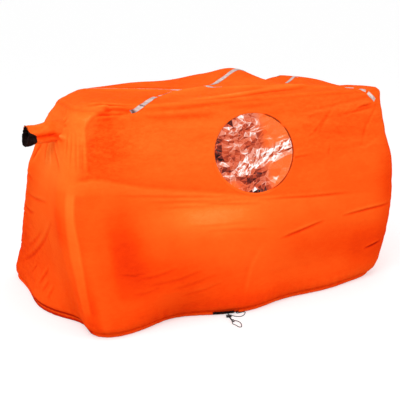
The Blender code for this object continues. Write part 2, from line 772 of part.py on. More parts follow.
def main():
    clear_scene()
    parts = new_collection("bothy_bag")
    cutters = new_collection("cutters")
    nylon = new_material("coated_nylon", ORANGE, 0.55)
    film = new_material("clear_film", (0.9, 0.85, 0.82), 0.1, alpha=0.35)
    seam = new_material("seam_tape", (0.75, 0.10, 0.02), 0.6)
    silver = new_material("reflective_tape", (0.6, 0.6, 0.62), 0.3, metallic=0.5)
    black = new_material("black_nylon", BLACK, 0.7)
    plastic = new_material("black_plastic", BLACK, 0.4)
    steel = new_material("spring_steel", (0.6, 0.6, 0.6), 0.3, metallic=1.0)
    seat = new_material("seat_cloth", (0.05, 0.05, 0.055), 0.7)

    grids = skin()
    panels = build_panels(grids, nylon, parts)
    build_window(grids, panels["front"], film, parts, cutters)
    build_seam_tapes(grids, seam, parts)
    build_reflective_tapes(grids, silver, parts, cutters)
    build_hem(grids, nylon, black, parts)
    build_seats(grids, seat, parts)
    build_vent(grids, panels["left"], nylon, black, parts, cutters)
    frame = build_lock(plastic, steel, parts, cutters)
    build_cords(grids, frame, black, parts)


main()
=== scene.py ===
"""Looks of a group shelter bag: folded cloth, crumpled film, tapes, gathered hem, sleeve and cord.

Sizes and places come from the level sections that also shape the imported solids. Each soft solid is
replaced by a finer piece in the space that it holds, and the cord lock's own solids keep their
shapes and get plastic and steel. Lengths are metres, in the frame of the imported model.
"""

import math

import bmesh
import bpy
import numpy as np
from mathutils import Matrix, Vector
from mathutils.bvhtree import BVHTree
from mathutils.geometry import delaunay_2d_cdt


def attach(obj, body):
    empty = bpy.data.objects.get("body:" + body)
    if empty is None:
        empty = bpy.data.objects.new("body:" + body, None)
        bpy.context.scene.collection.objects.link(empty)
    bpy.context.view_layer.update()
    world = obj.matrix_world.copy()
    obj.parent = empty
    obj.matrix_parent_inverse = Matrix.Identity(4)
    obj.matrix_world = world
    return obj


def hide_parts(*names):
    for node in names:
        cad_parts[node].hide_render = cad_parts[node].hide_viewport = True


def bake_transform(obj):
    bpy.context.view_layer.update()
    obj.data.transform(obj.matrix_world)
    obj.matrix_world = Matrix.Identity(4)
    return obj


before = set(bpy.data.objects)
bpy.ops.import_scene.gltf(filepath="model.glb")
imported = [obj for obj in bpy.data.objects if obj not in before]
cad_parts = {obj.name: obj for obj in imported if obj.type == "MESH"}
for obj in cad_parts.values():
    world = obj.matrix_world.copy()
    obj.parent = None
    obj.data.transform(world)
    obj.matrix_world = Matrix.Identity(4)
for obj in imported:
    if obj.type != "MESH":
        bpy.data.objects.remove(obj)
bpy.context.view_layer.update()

# The photograph's view
CAMERA_PLACE = (-2.2945, -3.8597, 1.5)
CAMERA_HEADING = math.radians(-31)
CAMERA_DOWN = math.atan(0.252)
LENS = 90
SENSOR = 36
# The lamps: name, place, size and energy
LAMPS = (
    ("key_light", (-2.6, -2.6, 3.2), 2.6, 85),
    ("side_light", (3.0, -3.2, 2.4), 1.4, 30),
    ("end_light", (-3.6, 0.2, 1.3), 2.4, 12),
)
LAMP_AIM = (0, 0, 0.45)
FLOOR_LEVEL = -0.0005
FLOOR_REACH = 30  # from the middle to each edge

# Level sections of the standing bag. Each row has the height above the hem channel, then x and y
# of the four corners before rounding: front left, front right, back right, back left.
SECTIONS = (
    (0.000, -0.763, -0.508, 0.778, -0.400, 0.763, 0.520, -0.721, 0.520),
    (0.031, -0.785, -0.535, 0.806, -0.430, 0.803, 0.545, -0.728, 0.535),
    (0.146, -0.802, -0.508, 0.846, -0.437, 0.838, 0.525, -0.707, 0.505),
    (0.306, -0.827, -0.465, 0.882, -0.435, 0.848, 0.490, -0.703, 0.450),
    (0.486, -0.832, -0.420, 0.886, -0.430, 0.848, 0.430, -0.704, 0.370),
    (0.666, -0.782, -0.370, 0.854, -0.408, 0.823, 0.355, -0.698, 0.280),
    (0.796, -0.737, -0.330, 0.837, -0.390, 0.793, 0.285, -0.661, 0.215),
    (0.848, -0.717, -0.305, 0.839, -0.382, 0.773, 0.250, -0.634, 0.190),
    (0.866, -0.692, -0.280, 0.831, -0.366, 0.751, 0.225, -0.602, 0.165),
)
CORNER_REACH = (0.160, 0.175, 0.200, 0.180)
ROOF_CROWN = 0.025  # rise of the roof's middle, within the reach of its edges
CROWN_REACH = 0.120
# Pushes that people and folds give the cloth: centre, reach and move, each x, y, z
PUSHES = (
    ((-0.002, -0.500, 0.260), (0.450, 0.300, 0.240), (0.000, -0.050, 0.000)),
    ((-0.367, -0.470, 0.000), (0.150, 0.200, 0.100), (0.000, 0.060, 0.000)),
    ((-0.043, -0.470, 0.000), (0.165, 0.200, 0.090), (0.000, -0.045, 0.000)),
    ((0.409, -0.430, 0.000), (0.200, 0.200, 0.090), (0.000, -0.036, 0.000)),
    ((-0.752, -0.310, 0.000), (0.200, 0.120, 0.100), (0.045, 0.000, 0.000)),
    ((-0.752, -0.020, 0.000), (0.200, 0.200, 0.120), (-0.048, 0.000, 0.000)),
    ((0.238, 0.060, 0.900), (0.108, 0.170, 0.250), (0.000, 0.000, 0.052)),
    ((-0.141, 0.120, 0.900), (0.300, 0.160, 0.250), (0.000, 0.000, 0.021)),
    ((0.409, 0.100, 0.900), (0.130, 0.200, 0.250), (0.000, 0.000, -0.022)),
    ((0.699, -0.090, 0.900), (0.190, 0.190, 0.250), (0.000, 0.000, -0.038)),
)
CLOTH = 0.0020  # thickness of the cloth's solid, whose outer face the finer cloth follows
HEM_TOP = 0.0138  # level at which the walls' cloth starts, over the hem channel
EAVE = HEM_TOP + SECTIONS[-1][0]  # height of the seam between the walls and the roof

# Fineness of the cloth: steps along the front, the left end, half of each corner, and up
LONG_STEPS = 320
LEFT_STEPS = 60
CORNER_STEPS = (40, 16, 16, 40)
WALL_ROWS = 200
PLAIN_PANELS = ("back", "right")  # these take every second row and column

# Panels: the solid that each takes the place of, and the flat size and area that it is cut to
PANELS = ("front", "right", "back", "left")
PANEL_CUTS = {
    "front": ("front_wall", (1.66, 0.90), 1.30),
    "right": ("right_end_wall", (0.90, 0.90), 0.72),
    "back": ("back_wall", (1.66, 0.90), 1.38),
    "left": ("left_end_wall", (1.02, 0.90), 0.72),
    "roof": ("roof_panel", (1.55, 0.58), 0.76),
}

# Window
WINDOW_X = 0.0566
WINDOW_Z = 0.6557
WINDOW_HALF = (0.200, 0.168)
FILM_REACH = 1.04  # how far the film goes behind the cloth, in half widths of the opening
FILM_EDGE = 0.985  # where the film's crumple ends, in the same measure

# Breather sleeve
VENT_Y = -0.163
VENT_Z = 0.784
VENT_RADIUS = 0.043
VENT_DROOP = math.radians(3)
SLEEVE_LENGTH = 0.105
CUFF_LENGTH = 0.052
CUFF_TURN_IN = 0.048
CUFF_SEAM = 0.119  # distance of the cuff's seam from the wall, at its lower side
CUFF_SEAM_RISE = 0.030  # how much further it lies at its upper side
MOUTH_SLANT = 0.0075  # how much further the cuff's mouth reaches below, and less above
VENT_PROFILE = ((0.0, 0.03, 0.11, 0.157), (0.0445, 0.0410, 0.0375, 0.0435))  # distance, half width

# Hem roll, webbing over the cord's way out, and seats
ROLL_LEVEL = 0.0072  # height of the roll's middle
ROLL_HALF = (0.0078, 0.0068)  # its half width and half height
ROLL_TUCK = 0.0025  # how far the roll lies further in along the left end
WEBBING = (-0.207, -0.119)  # its ends along x
# Rows of the webbing: height, and distance in front of the walls' lowest line
WEBBING_ROWS = ((0.0036, 0.0082), (0.0040, 0.0092), (0.0090, 0.0097), (0.0136, 0.0088), (0.0140, 0.0078))
SEAT_LENGTH = 1.1
SEAT_DEPTH = 0.26
SEAT_EDGE = 0.0049  # from the middle of the hem channel to the seat's sewn edge
SEAT_LEVEL = 0.0012  # height of the seats' cloth

# Free cord
CORD_RADIUS = 0.00162
LOCK_CENTRE = (-0.162, -0.545)
LOCK_LEVEL = 0.0064
LOCK_HEADING = math.radians(-17.5)
CORD_PITCH = 0.0033
EXIT_LEFT = -0.152
EXIT_RIGHT = -0.097
CHANNEL_LEVEL = 0.0031
LOCK_CROSSING = (-0.008, 0, 0.015, 0.030)  # distances along the lock's line that the strands pass
LEFT_ROUTE = (
    (-0.1465, -0.5015, 0.0026),
    (-0.1430, -0.5065, 0.0017),
    (-0.1435, -0.5125, 0.0016),
    (-0.1475, -0.5185, 0.0016),
    (-0.1540, -0.5240, 0.0026),
    (-0.1590, -0.5300, 0.0052),
)
RIGHT_ROUTE = (
    (-0.1025, -0.5145, 0.0024),
    (-0.1075, -0.5180, 0.0017),
    (-0.1060, -0.5225, 0.0016),
    (-0.0985, -0.5245, 0.0016),
    (-0.0880, -0.5240, 0.0016),
    (-0.0770, -0.5240, 0.0016),
    (-0.0710, -0.5295, 0.0016),
    (-0.0765, -0.5395, 0.0016),
    (-0.0930, -0.5550, 0.0016),
    (-0.1100, -0.5630, 0.0016),
    (-0.1240, -0.5590, 0.0016),
    (-0.1350, -0.5465, 0.0017),
    (-0.1420, -0.5340, 0.0024),
    (-0.1490, -0.5275, 0.0040),
    (-0.1555, -0.5300, 0.0060),
)
TAIL_ROUTE = (
    (-0.1805, -0.6019, 0.0052),
    (-0.1855, -0.6085, 0.0030),
    (-0.1890, -0.6160, 0.0016),
    (-0.1880, -0.6265, 0.0016),
    (-0.1860, -0.6385, 0.0016),
    (-0.1870, -0.6520, 0.0016),
    (-0.1845, -0.6625, 0.0016),
    (-0.1775, -0.6640, 0.0016),
    (-0.1690, -0.6530, 0.0016),
    (-0.1610, -0.6385, 0.0016),
    (-0.1555, -0.6235, 0.0016),
    (-0.1545, -0.6100, 0.0017),
    (-0.1575, -0.6025, 0.0026),
    (-0.1630, -0.6002, 0.0044),
    (-0.1689, -0.6000, 0.0058),
)
KNOT_DISTANCE = 0.0545
KNOT_OFFSET = 0.003
KNOT_RADII = (0.0065, 0.0050, 0.0056)
KNOT_CORD = 0.0015  # radius of the cord in the knot
STITCH_PITCH = 0.0058
STITCH_LENGTH = 0.0036
STITCH_THICKNESS = 0.00045
TOUCH = 0.0004  # gap between pieces that rest on each other

# Folds on the walls, in metres along the cloth from the front left corner (to the right along the
# front, negative along the left end) and up. Each has a depth, negative for a ridge, and a width.
# The back wall and the right end have the same folds, counted from the back right corner.
FOLDS = (
    # right half of the front
    (0.0036, 0.0050, ((0.842, 0.462), (0.981, 0.453), (1.130, 0.439), (1.334, 0.428))),
    (0.0050, 0.0055, ((1.300, 0.327), (1.439, 0.335), (1.600, 0.342))),
    (0.0050, 0.0055, ((0.924, 0.288), (1.034, 0.302), (1.184, 0.323))),
    (0.0044, 0.0050, ((1.409, 0.152), (1.520, 0.170))),
    (0.0024, 0.0050, ((0.907, 0.617), (1.012, 0.614), (1.120, 0.618))),
    (0.0044, 0.0060, ((1.326, 0.796), (1.361, 0.806), (1.409, 0.811))),
    (0.0030, 0.0060, ((1.420, 0.800), (1.360, 0.790), (1.250, 0.778))),
    (0.0017, 0.0100, ((1.196, 0.822), (1.182, 0.806), (1.163, 0.769), (1.149, 0.741), (1.137, 0.708))),
    (0.0016, 0.0070, ((1.450, 0.820), (1.433, 0.791), (1.399, 0.720), (1.391, 0.634))),
    (0.0018, 0.0070, ((1.400, 0.850), (1.309, 0.836), (1.173, 0.819), (1.015, 0.805))),
    (0.0018, 0.0060, ((1.056, 0.773), (1.084, 0.784), (1.130, 0.792))),
    (0.0016, 0.0060, ((1.082, 0.695), (1.110, 0.710), (1.132, 0.738), (1.149, 0.762))),
    (0.0016, 0.0060, ((1.025, 0.760), (1.057, 0.745), (1.100, 0.741))),
    (0.0014, 0.0060, ((1.212, 0.650), (1.214, 0.600))),
    (-0.0016, 0.0090, ((1.332, 0.617), (1.419, 0.622), (1.490, 0.646))),
    # middle and left of the front
    (-0.0010, 0.010, ((0.681, 0.074), (0.748, 0.196), (0.830, 0.284))),
    (0.0012, 0.006, ((0.207, 0.218), (0.314, 0.221), (0.411, 0.240))),
    (0.0012, 0.006, ((0.261, 0.185), (0.398, 0.191), (0.520, 0.215))),
    (0.0011, 0.006, ((0.330, 0.150), (0.440, 0.160), (0.560, 0.185))),
    (0.0010, 0.005, ((0.150, 0.250), (0.210, 0.236), (0.260, 0.240))),
    (0.0010, 0.005, ((0.180, 0.165), (0.240, 0.160), (0.300, 0.172))),
    (0.0011, 0.005, ((0.400, 0.118), (0.500, 0.128), (0.600, 0.150))),
    (0.0024, 0.005, ((0.558, 0.479), (0.698, 0.461), (0.837, 0.448))),
    (0.0020, 0.005, ((0.173, 0.553), (0.375, 0.527), (0.560, 0.506), (0.700, 0.490))),
    (0.0018, 0.005, ((0.300, 0.512), (0.480, 0.495), (0.640, 0.478), (0.800, 0.470))),
    (0.0016, 0.005, ((0.360, 0.484), (0.520, 0.470), (0.640, 0.461))),
    (0.0012, 0.005, ((0.480, 0.396), (0.640, 0.384), (0.780, 0.380))),
    (0.0014, 0.006, ((0.561, 0.366), (0.700, 0.358), (0.865, 0.338))),
    # under the front edge of the roof
    (0.0060, 0.007, ((0.040, 0.876), (0.073, 0.880), (0.134, 0.875), (0.205, 0.868), (0.240, 0.870))),
    (0.0052, 0.005, ((0.045, 0.862), (0.077, 0.864), (0.132, 0.858), (0.190, 0.860))),
    (0.0028, 0.006, ((0.040, 0.842), (0.090, 0.845), (0.150, 0.846))),
    (0.0026, 0.009, ((0.239, 0.842), (0.331, 0.834), (0.468, 0.828), (0.600, 0.826))),
    (0.0030, 0.009, ((0.240, 0.862), (0.420, 0.862), (0.559, 0.868), (0.700, 0.872))),
    (0.0020, 0.008, ((0.640, 0.850), (0.760, 0.846), (0.900, 0.852))),
    # left end
    (0.0026, 0.009, ((-0.804, 0.108), (-0.617, 0.188), (-0.398, 0.304), (-0.195, 0.428))),
    (0.0018, 0.008, ((-0.700, 0.200), (-0.560, 0.262), (-0.440, 0.330))),
    (0.0028, 0.008, ((-0.501, 0.095), (-0.463, 0.133), (-0.404, 0.181))),
    (0.0024, 0.007, ((-0.640, 0.100), (-0.568, 0.158))),
    (0.0026, 0.007, ((-0.450, 0.080), (-0.393, 0.133))),
    (0.0026, 0.007, ((-0.390, 0.070), (-0.340, 0.125))),
    (0.0020, 0.007, ((-0.326, 0.345), (-0.308, 0.290))),
    (0.0024, 0.007, ((-0.640, 0.445), (-0.485, 0.454), (-0.251, 0.488))),
    (0.0024, 0.008, ((-0.720, 0.380), (-0.600, 0.372), (-0.520, 0.386))),
    (0.0024, 0.008, ((-0.700, 0.520), (-0.600, 0.535), (-0.500, 0.530))),
)
# Folds that run out from the root of the breather sleeve, on the left end only
VENT_FOLDS = (
    (0.0045, 0.009, ((-0.386, 0.700), (-0.450, 0.658), (-0.521, 0.609))),
    (0.0040, 0.009, ((-0.301, 0.720), (-0.315, 0.684), (-0.313, 0.635))),
    (0.0036, 0.009, ((-0.190, 0.740), (-0.155, 0.693), (-0.100, 0.645))),
    (0.0045, 0.007, ((-0.225, 0.752), (-0.128, 0.753), (-0.066, 0.756))),
    (0.0045, 0.007, ((-0.190, 0.786), (-0.150, 0.792), (-0.125, 0.803), (-0.098, 0.832))),
    (0.0040, 0.006, ((-0.210, 0.768), (-0.160, 0.772), (-0.120, 0.786))),
    (-0.0030, 0.010, ((-0.245, 0.735), (-0.240, 0.690), (-0.215, 0.640))),
)
# Folds on the roof, in x and y
ROOF_FOLDS = (
    (
        -0.0045,
        0.016,
        ((-0.250, -0.285), (-0.091, -0.287), (0.003, -0.282), (0.202, -0.259), (0.486, -0.246)),
    ),
    (0.0034, 0.008, ((-0.250, -0.308), (0.003, -0.306), (0.202, -0.284), (0.342, -0.280), (0.486, -0.270))),
    (
        -0.0140,
        0.017,
        ((-0.335, -0.256), (-0.241, -0.213), (-0.125, -0.181), (-0.065, -0.163), (0.050, -0.104)),
    ),
    (
        -0.0080,
        0.015,
        ((-0.530, 0.090), (-0.438, -0.004), (-0.375, -0.044), (-0.303, -0.086), (-0.190, -0.140)),
    ),
    (
        -0.0140,
        0.017,
        (
            (-0.020, -0.164),
            (0.050, -0.189),
            (0.200, -0.226),
            (0.350, -0.254),
            (0.500, -0.280),
            (0.600, -0.304),
        ),
    ),
    (
        0.0056,
        0.006,
        ((-0.633, -0.236), (-0.600, -0.250), (-0.555, -0.266), (-0.500, -0.283), (-0.450, -0.292)),
    ),
    (-0.0030, 0.012, ((0.060, -0.070), (0.160, -0.020), (0.235, 0.030))),
    (0.0026, 0.010, ((0.260, 0.020), (0.330, -0.090), (0.430, -0.180))),
    (0.0024, 0.010, ((-0.420, 0.040), (-0.260, -0.030), (-0.080, -0.090))),
)
# Broad rises of the roof over people's heads, and dips between them: centre, reach and height
ROOF_SWELLS = (
    ((-0.130, 0.080), (0.100, 0.130), -0.006),
    ((0.075, 0.070), (0.090, 0.120), 0.017),
    ((0.490, 0.030), (0.080, 0.110), -0.017),
    ((0.680, 0.010), (0.060, 0.120), -0.014),
    ((0.500, -0.070), (0.060, 0.070), 0.004),
    ((0.510, 0.130), (0.055, 0.120), -0.013),
    ((0.600, 0.040), (0.036, 0.080), 0.011),
)
# Fine pleats down the front left corner: top, middle and foot of each
PLEATS = (
    ((-0.070, 0.800), (-0.062, 0.740), (-0.058, 0.690)),
    ((-0.046, 0.795), (-0.035, 0.730), (-0.029, 0.660)),
    ((-0.025, 0.800), (-0.011, 0.724), (0.002, 0.645)),
    ((-0.004, 0.780), (0.009, 0.715), (0.018, 0.650)),
    ((0.010, 0.770), (0.021, 0.697), (0.028, 0.643)),
)
# Steps, where the cloth on the left or lower side of a line stands out over the other side: rise at
# the line's start and end, width of the turn, reach and tone of the raised side and of the other,
# and the share of the line over which the step begins. The tones are painted light and shade, mostly
# paler on the raised side and darker on the other
STEPS = (
    (
        (0.016, 0.004),
        0.006,
        (0.050, 0.16),
        (0.130, -0.20),
        0.06,
        (
            (0.100, 0.893),
            (0.078, 0.881),
            (0.060, 0.867),
            (0.036, 0.851),
            (0.019, 0.829),
            (0.014, 0.807),
            (0.019, 0.789),
            (0.031, 0.734),
            (0.042, 0.678),
            (0.054, 0.630),
        ),
    ),
    (
        (0.013, 0.000),
        0.010,
        (0.030, 0.16),
        (0.022, -0.16),
        0.06,
        (
            (-0.040, 0.590),
            (0.018, 0.613),
            (0.073, 0.622),
            (0.120, 0.614),
            (0.192, 0.596),
            (0.285, 0.571),
            (0.468, 0.540),
            (0.684, 0.504),
            (0.993, 0.455),
            (1.234, 0.428),
            (1.554, 0.408),
        ),
    ),
    (
        (0.006, 0.003),
        0.007,
        (0.030, 0.155),
        (0.080, -0.14),
        0.06,
        ((0.009, 0.580), (0.009, 0.469), (0.013, 0.375), (0.007, 0.276), (-0.005, 0.188), (-0.016, 0.070)),
    ),
    (
        (-0.006, -0.004),
        0.014,
        (0.110, -0.10),
        (0.030, 0.10),
        0.06,
        (
            (-0.030, 0.590),
            (-0.033, 0.424),
            (-0.040, 0.319),
            (-0.042, 0.253),
            (-0.050, 0.180),
            (-0.055, 0.060),
        ),
    ),
    (
        (0.004, 0.002),
        0.024,
        (0.040, 0.02),
        (0.110, -0.17),
        0.50,
        ((0.145, 0.500), (0.141, 0.430), (0.138, 0.352), (0.130, 0.251), (0.112, 0.130)),
    ),
)
# Broad swells of the cloth: centre and reach along the cloth and up, and height
SWELLS = (
    ((0.140, 0.740), (0.100, 0.090), -0.006),
    ((-0.390, 0.838), (0.060, 0.030), -0.010),
    ((0.620, 0.425), (0.300, 0.075), 0.009),
    ((-0.620, 0.560), (0.260, 0.060), 0.008),
    ((0.900, 0.180), (0.300, 0.080), -0.005),
    ((-0.350, 0.250), (0.250, 0.120), -0.006),
)
# Broad painted light and shade on the cloth: paler where it bulges up towards the lamps, darker in hollows
# and low down, standing for light that falls on it and comes through it
PAINTED_LIGHT_AND_SHADE = (
    ((0.550, 0.428), (0.170, 0.060), 0.26),
    ((0.740, 0.422), (0.200, 0.065), 0.20),
    ((0.205, 0.330), (0.085, 0.180), -0.23),
    ((0.320, 0.230), (0.140, 0.100), -0.13),
    ((-0.004, 0.120), (0.030, 0.100), -0.07),
    ((0.460, 0.170), (0.240, 0.080), -0.14),
    ((0.600, 0.050), (0.620, 0.060), -0.26),
    ((1.450, 0.160), (0.220, 0.120), -0.18),
    ((1.250, 0.200), (0.360, 0.090), -0.12),
    ((1.600, 0.450), (0.080, 0.260), -0.22),
    ((0.090, 0.250), (0.050, 0.220), -0.06),
    ((-0.250, 0.660), (0.180, 0.110), 0.12),
    ((-0.100, 0.450), (0.050, 0.090), -0.14),
    ((-0.300, 0.230), (0.330, 0.170), -0.01),
    ((0.620, 0.740), (0.420, 0.120), 0.14),
    ((0.145, 0.740), (0.060, 0.090), -0.06),
    ((0.030, 0.812), (0.026, 0.040), 0.16),
)
# Folds get painted shade in their grooves and painted light on their lips and ridges
FOLD_SHADE_AND_LIGHT = 72  # change of tone for each metre of a fold's depth
RIDGE_LIGHT_LIMIT = -0.0022  # a higher ridge gets no paler than one of this depth
PLEAT_WIDTH = 0.0045
PLEAT_DEPTH = 0.0030
# painted shade in the pleats' grooves
PLEAT_SHADE = 0.16

# Crumpled film, in half widths and half heights from the window's middle: the band of painted glare,
# fold lines with painted highlights, and places painted paler, as glints, and darker, as the shade of
# hollows
FILM_STEPS = 6  # small triangles along each side of a facet
FILM_STREAKS = 130
FILM_SAG = 0.0030  # how far the crumpled film lies behind the cloth
STREAK_WIDTH = 0.013
# painted glints and painted shade of the short streaks
STREAK_GLINT_AND_SHADE = (0.44, 0.34, 0.26, -0.28, -0.38)
# painted highlight along each fold line
FOLD_LINE_HIGHLIGHT = 0.34
RIM_STEPS = 320
FILM_GLARE = ((-0.38, -0.38), (-0.15, -0.20), (0.15, -0.12), (0.45, -0.08), (0.70, 0.00), (0.93, 0.10))
FILM_LINES = (
    ((-0.19, 0.48), (0.08, 0.57), (0.50, 0.64)),
    ((-0.10, 0.40), (0.14, 0.50), (0.36, 0.58)),
    ((0.29, 0.32), (0.40, 0.31), (0.52, 0.29)),
    ((0.55, 0.27), (0.71, 0.31), (0.88, 0.36)),
    ((0.56, 0.16), (0.75, 0.22), (0.92, 0.27)),
    ((0.33, -0.60), (0.44, -0.68), (0.58, -0.66)),
    ((0.42, -0.62), (0.48, -0.72), (0.50, -0.78)),
    ((-0.89, -0.47), (-0.70, -0.49), (-0.52, -0.51)),
    ((-0.96, 0.14), (-0.86, 0.10), (-0.74, 0.06)),
    ((-0.92, -0.24), (-0.80, -0.12), (-0.66, -0.26)),
    ((0.10, 0.86), (0.16, 0.76), (0.12, 0.66)),
)
# painted glints and glare where positive, painted shade of dark hollows where negative
FILM_MARKS = (
    ((-0.91, 0.06), (0.11, 0.15), -0.46),
    ((-0.80, -0.08), (0.09, 0.06), -0.28),
    ((-0.84, 0.36), (0.10, 0.13), -0.28),
    ((-0.52, 0.80), (0.08, 0.07), -0.66),
    ((-0.22, 0.90), (0.09, 0.05), 0.42),
    ((-0.42, 0.77), (0.09, 0.05), 0.28),
    ((-0.30, 0.65), (0.05, 0.07), 0.28),
    ((-0.57, 0.69), (0.08, 0.05), 0.26),
    ((-0.46, 0.54), (0.09, 0.04), 0.24),
    ((-0.37, 0.24), (0.08, 0.07), 0.20),
    ((-0.21, 0.02), (0.05, 0.06), 0.28),
    ((-0.04, 0.74), (0.05, 0.06), 0.28),
    ((-0.04, 0.45), (0.13, 0.05), 0.40),
    ((0.14, 0.36), (0.06, 0.04), 0.30),
    ((0.24, 0.50), (0.08, 0.07), -0.26),
    ((-0.07, 0.24), (0.20, 0.07), -0.26),
    ((0.24, 0.20), (0.10, 0.07), -0.14),
    ((-0.80, -0.20), (0.12, 0.05), 0.40),
    ((-0.77, -0.35), (0.14, 0.06), -0.17),
    ((-0.58, -0.04), (0.20, 0.06), -0.15),
    ((0.48, -0.02), (0.05, 0.09), 0.26),
    ((0.36, -0.20), (0.10, 0.06), 0.26),
    ((-0.19, -0.66), (0.27, 0.12), -0.30),
    ((0.10, -0.52), (0.16, 0.08), -0.13),
    ((-0.03, -0.94), (0.26, 0.07), -0.64),
    ((-0.09, -0.885), (0.09, 0.022), 0.85),
    ((0.44, -0.70), (0.06, 0.04), 0.30),
)
# Tapes: half widths, and how far the inner ones lie under the cloth
TAPE_HALF = 0.0095
TAPE_THICKNESS = 0.0006
INNER_TAPE_HALF = 0.010
INNER_TAPE_DEPTH = 0.0032
TAPE_SINK = 0.0036  # how deep the reflective ones go where a fold of cloth lies over them
# Points that each reflective tape passes
TAPE_A = (
    (-0.490, -0.316, 0.866),
    (-0.473, -0.315, 0.868),
    (-0.452, -0.309, 0.874),
    (-0.434, -0.300, 0.879),
    (-0.414, -0.289, 0.884),
    (-0.383, -0.266, 0.891),
    (-0.346, -0.240, 0.897),
    (-0.301, -0.218, 0.902),
    (-0.241, -0.196, 0.905),
    (-0.181, -0.177, 0.907),
    (-0.125, -0.163, 0.908),
    (-0.065, -0.145, 0.909),
    (0.011, -0.110, 0.912),
    (0.080, -0.066, 0.922),
    (0.174, -0.013, 0.942),
    (0.248, 0.021, 0.955),
    (0.330, 0.040, 0.925),
    (0.420, 0.045, 0.895),
    (0.508, 0.040, 0.888),
    (0.587, 0.060, 0.883),
    (0.648, 0.120, 0.878),
)
# Stretches of them, from one x to another, that a fold of cloth covers
TAPE_HIDDEN = {
    "tape_b_right": ((0.030, 0.622), (0.649, 0.664), (0.681, 0.692)),
    "tape_a": ((-0.330, -0.300), (0.345, 0.385), (0.440, 0.470), (0.500, 0.530)),
}
TAPE_B_LEFT = (
    (-0.542, 0.115, 0.895),
    (-0.490, 0.060, 0.905),
    (-0.438, 0.010, 0.908),
    (-0.375, -0.030, 0.908),
    (-0.303, -0.072, 0.908),
    (-0.232, -0.108, 0.908),
    (-0.160, -0.135, 0.908),
    (-0.085, -0.147, 0.908),
)
TAPE_B_RIGHT = (
    (-0.045, -0.150, 0.908),
    (0.050, -0.175, 0.908),
    (0.200, -0.212, 0.908),
    (0.350, -0.240, 0.903),
    (0.500, -0.266, 0.895),
    (0.600, -0.290, 0.889),
    (0.647, -0.315, 0.884),
    (0.658, -0.340, 0.881),
    (0.670, -0.358, 0.877),
    (0.684, -0.367, 0.868),
    (0.700, -0.377, 0.852),
    (0.718, -0.377, 0.837),
    (0.729, -0.376, 0.826),
)


# Skin of the bag, as grids of points


def read_rows(table, at):
    """Rows of the table read at fractional positions, on a smooth curve through every row."""
    table = np.asarray(table, float)
    ends = np.vstack([2 * table[0] - table[1], table, 2 * table[-1] - table[-2]])
    at = np.asarray(at, float)
    i = np.minimum(at.astype(int), len(table) - 2)
    f = (at - i)[:, None]
    p0, p1, p2, p3 = (ends[i + k] for k in range(4))
    return (
        p1
        + 0.5 * f * (p2 - p0)
        + 0.5 * f**2 * (2 * p0 - 5 * p1 + 4 * p2 - p3)
        + 0.5 * f**3 * (3 * p1 - p0 - 3 * p2 + p3)
    )


def toward(start, end, distance):
    return start + (end - start) / np.linalg.norm(end - start) * distance


def bend(start, corner, end, at):
    at = at[:, None]
    return start * (1 - at) ** 2 + 2 * corner * at * (1 - at) + end * at**2


def level_side(corners, side, steps):
    """Points of one side of a level section, from the middle of one corner to the next."""
    before, first, second, after = (corners[(side + k) % 4] for k in (-1, 0, 1, 2))
    near, far = CORNER_REACH[side], CORNER_REACH[(side + 1) % 4]
    start = toward(first, second, near)
    end = toward(second, first, far)
    half = np.linspace(0, 0.5, CORNER_STEPS[side] + 1)
    opening = bend(toward(first, before, near), first, start, half + 0.5)
    half = np.linspace(0, 0.5, CORNER_STEPS[(side + 1) % 4] + 1)
    closing = bend(end, second, toward(second, after, far), half)
    straight = start + (end - start) * np.linspace(0, 1, steps + 1)[:, None]
    return np.vstack([opening[:-1], straight, closing[1:]])


def pushed(points):
    moved = points.copy()
    for centre, reach, move in PUSHES:
        weight = np.exp(-(((points - centre) / np.array(reach)) ** 2).sum(-1))
        moved += weight[..., None] * np.array(move)
    return moved


def wall_grid(side, steps):
    heights = [row[0] for row in SECTIONS]
    levels = np.interp(np.linspace(0, heights[-1], WALL_ROWS + 1), heights, range(len(heights)))
    grid = []
    for row in read_rows(SECTIONS, levels):
        points = level_side(row[1:].reshape(4, 2), side, steps)
        grid.append(np.column_stack([points, np.full(len(points), HEM_TOP + row[0])]))
    return np.array(grid)


def run_of(points):
    """How far along a line of points each one lies, from 0 to 1, and the line's length."""
    lengths = np.linalg.norm(np.diff(points, axis=0), axis=1)
    along = np.concatenate([[0], np.cumsum(lengths)])
    return along / along[-1], along[-1]


def roof_grid(front, right, back, left):
    """A crowned sheet between the top rows of the four walls."""
    front, right, back, left = front[-1], right[-1], back[-1][::-1], left[-1][::-1]
    (across, length), (across_back, _) = run_of(front), run_of(back)
    (deep, depth), (deep_right, _) = run_of(left), run_of(right)
    u = ((across + across_back) / 2)[None, :]
    v = ((deep + deep_right) / 2)[:, None]
    u3, v3 = u[..., None], v[..., None]
    sheet = (1 - v3) * front[None] + v3 * back[None] + (1 - u3) * left[:, None] + u3 * right[:, None]
    sheet -= (1 - u3) * (1 - v3) * front[0] + u3 * (1 - v3) * front[-1]
    sheet -= (1 - u3) * v3 * back[0] + u3 * v3 * back[-1]
    rise_x = np.minimum(np.minimum(u, 1 - u) * length / CROWN_REACH, 1)
    rise_y = np.minimum(np.minimum(v, 1 - v) * depth / CROWN_REACH, 1)
    sheet[..., 2] += ROOF_CROWN * np.sin(rise_x * math.pi / 2) * np.sin(rise_y * math.pi / 2)
    return sheet


# Noise and folds


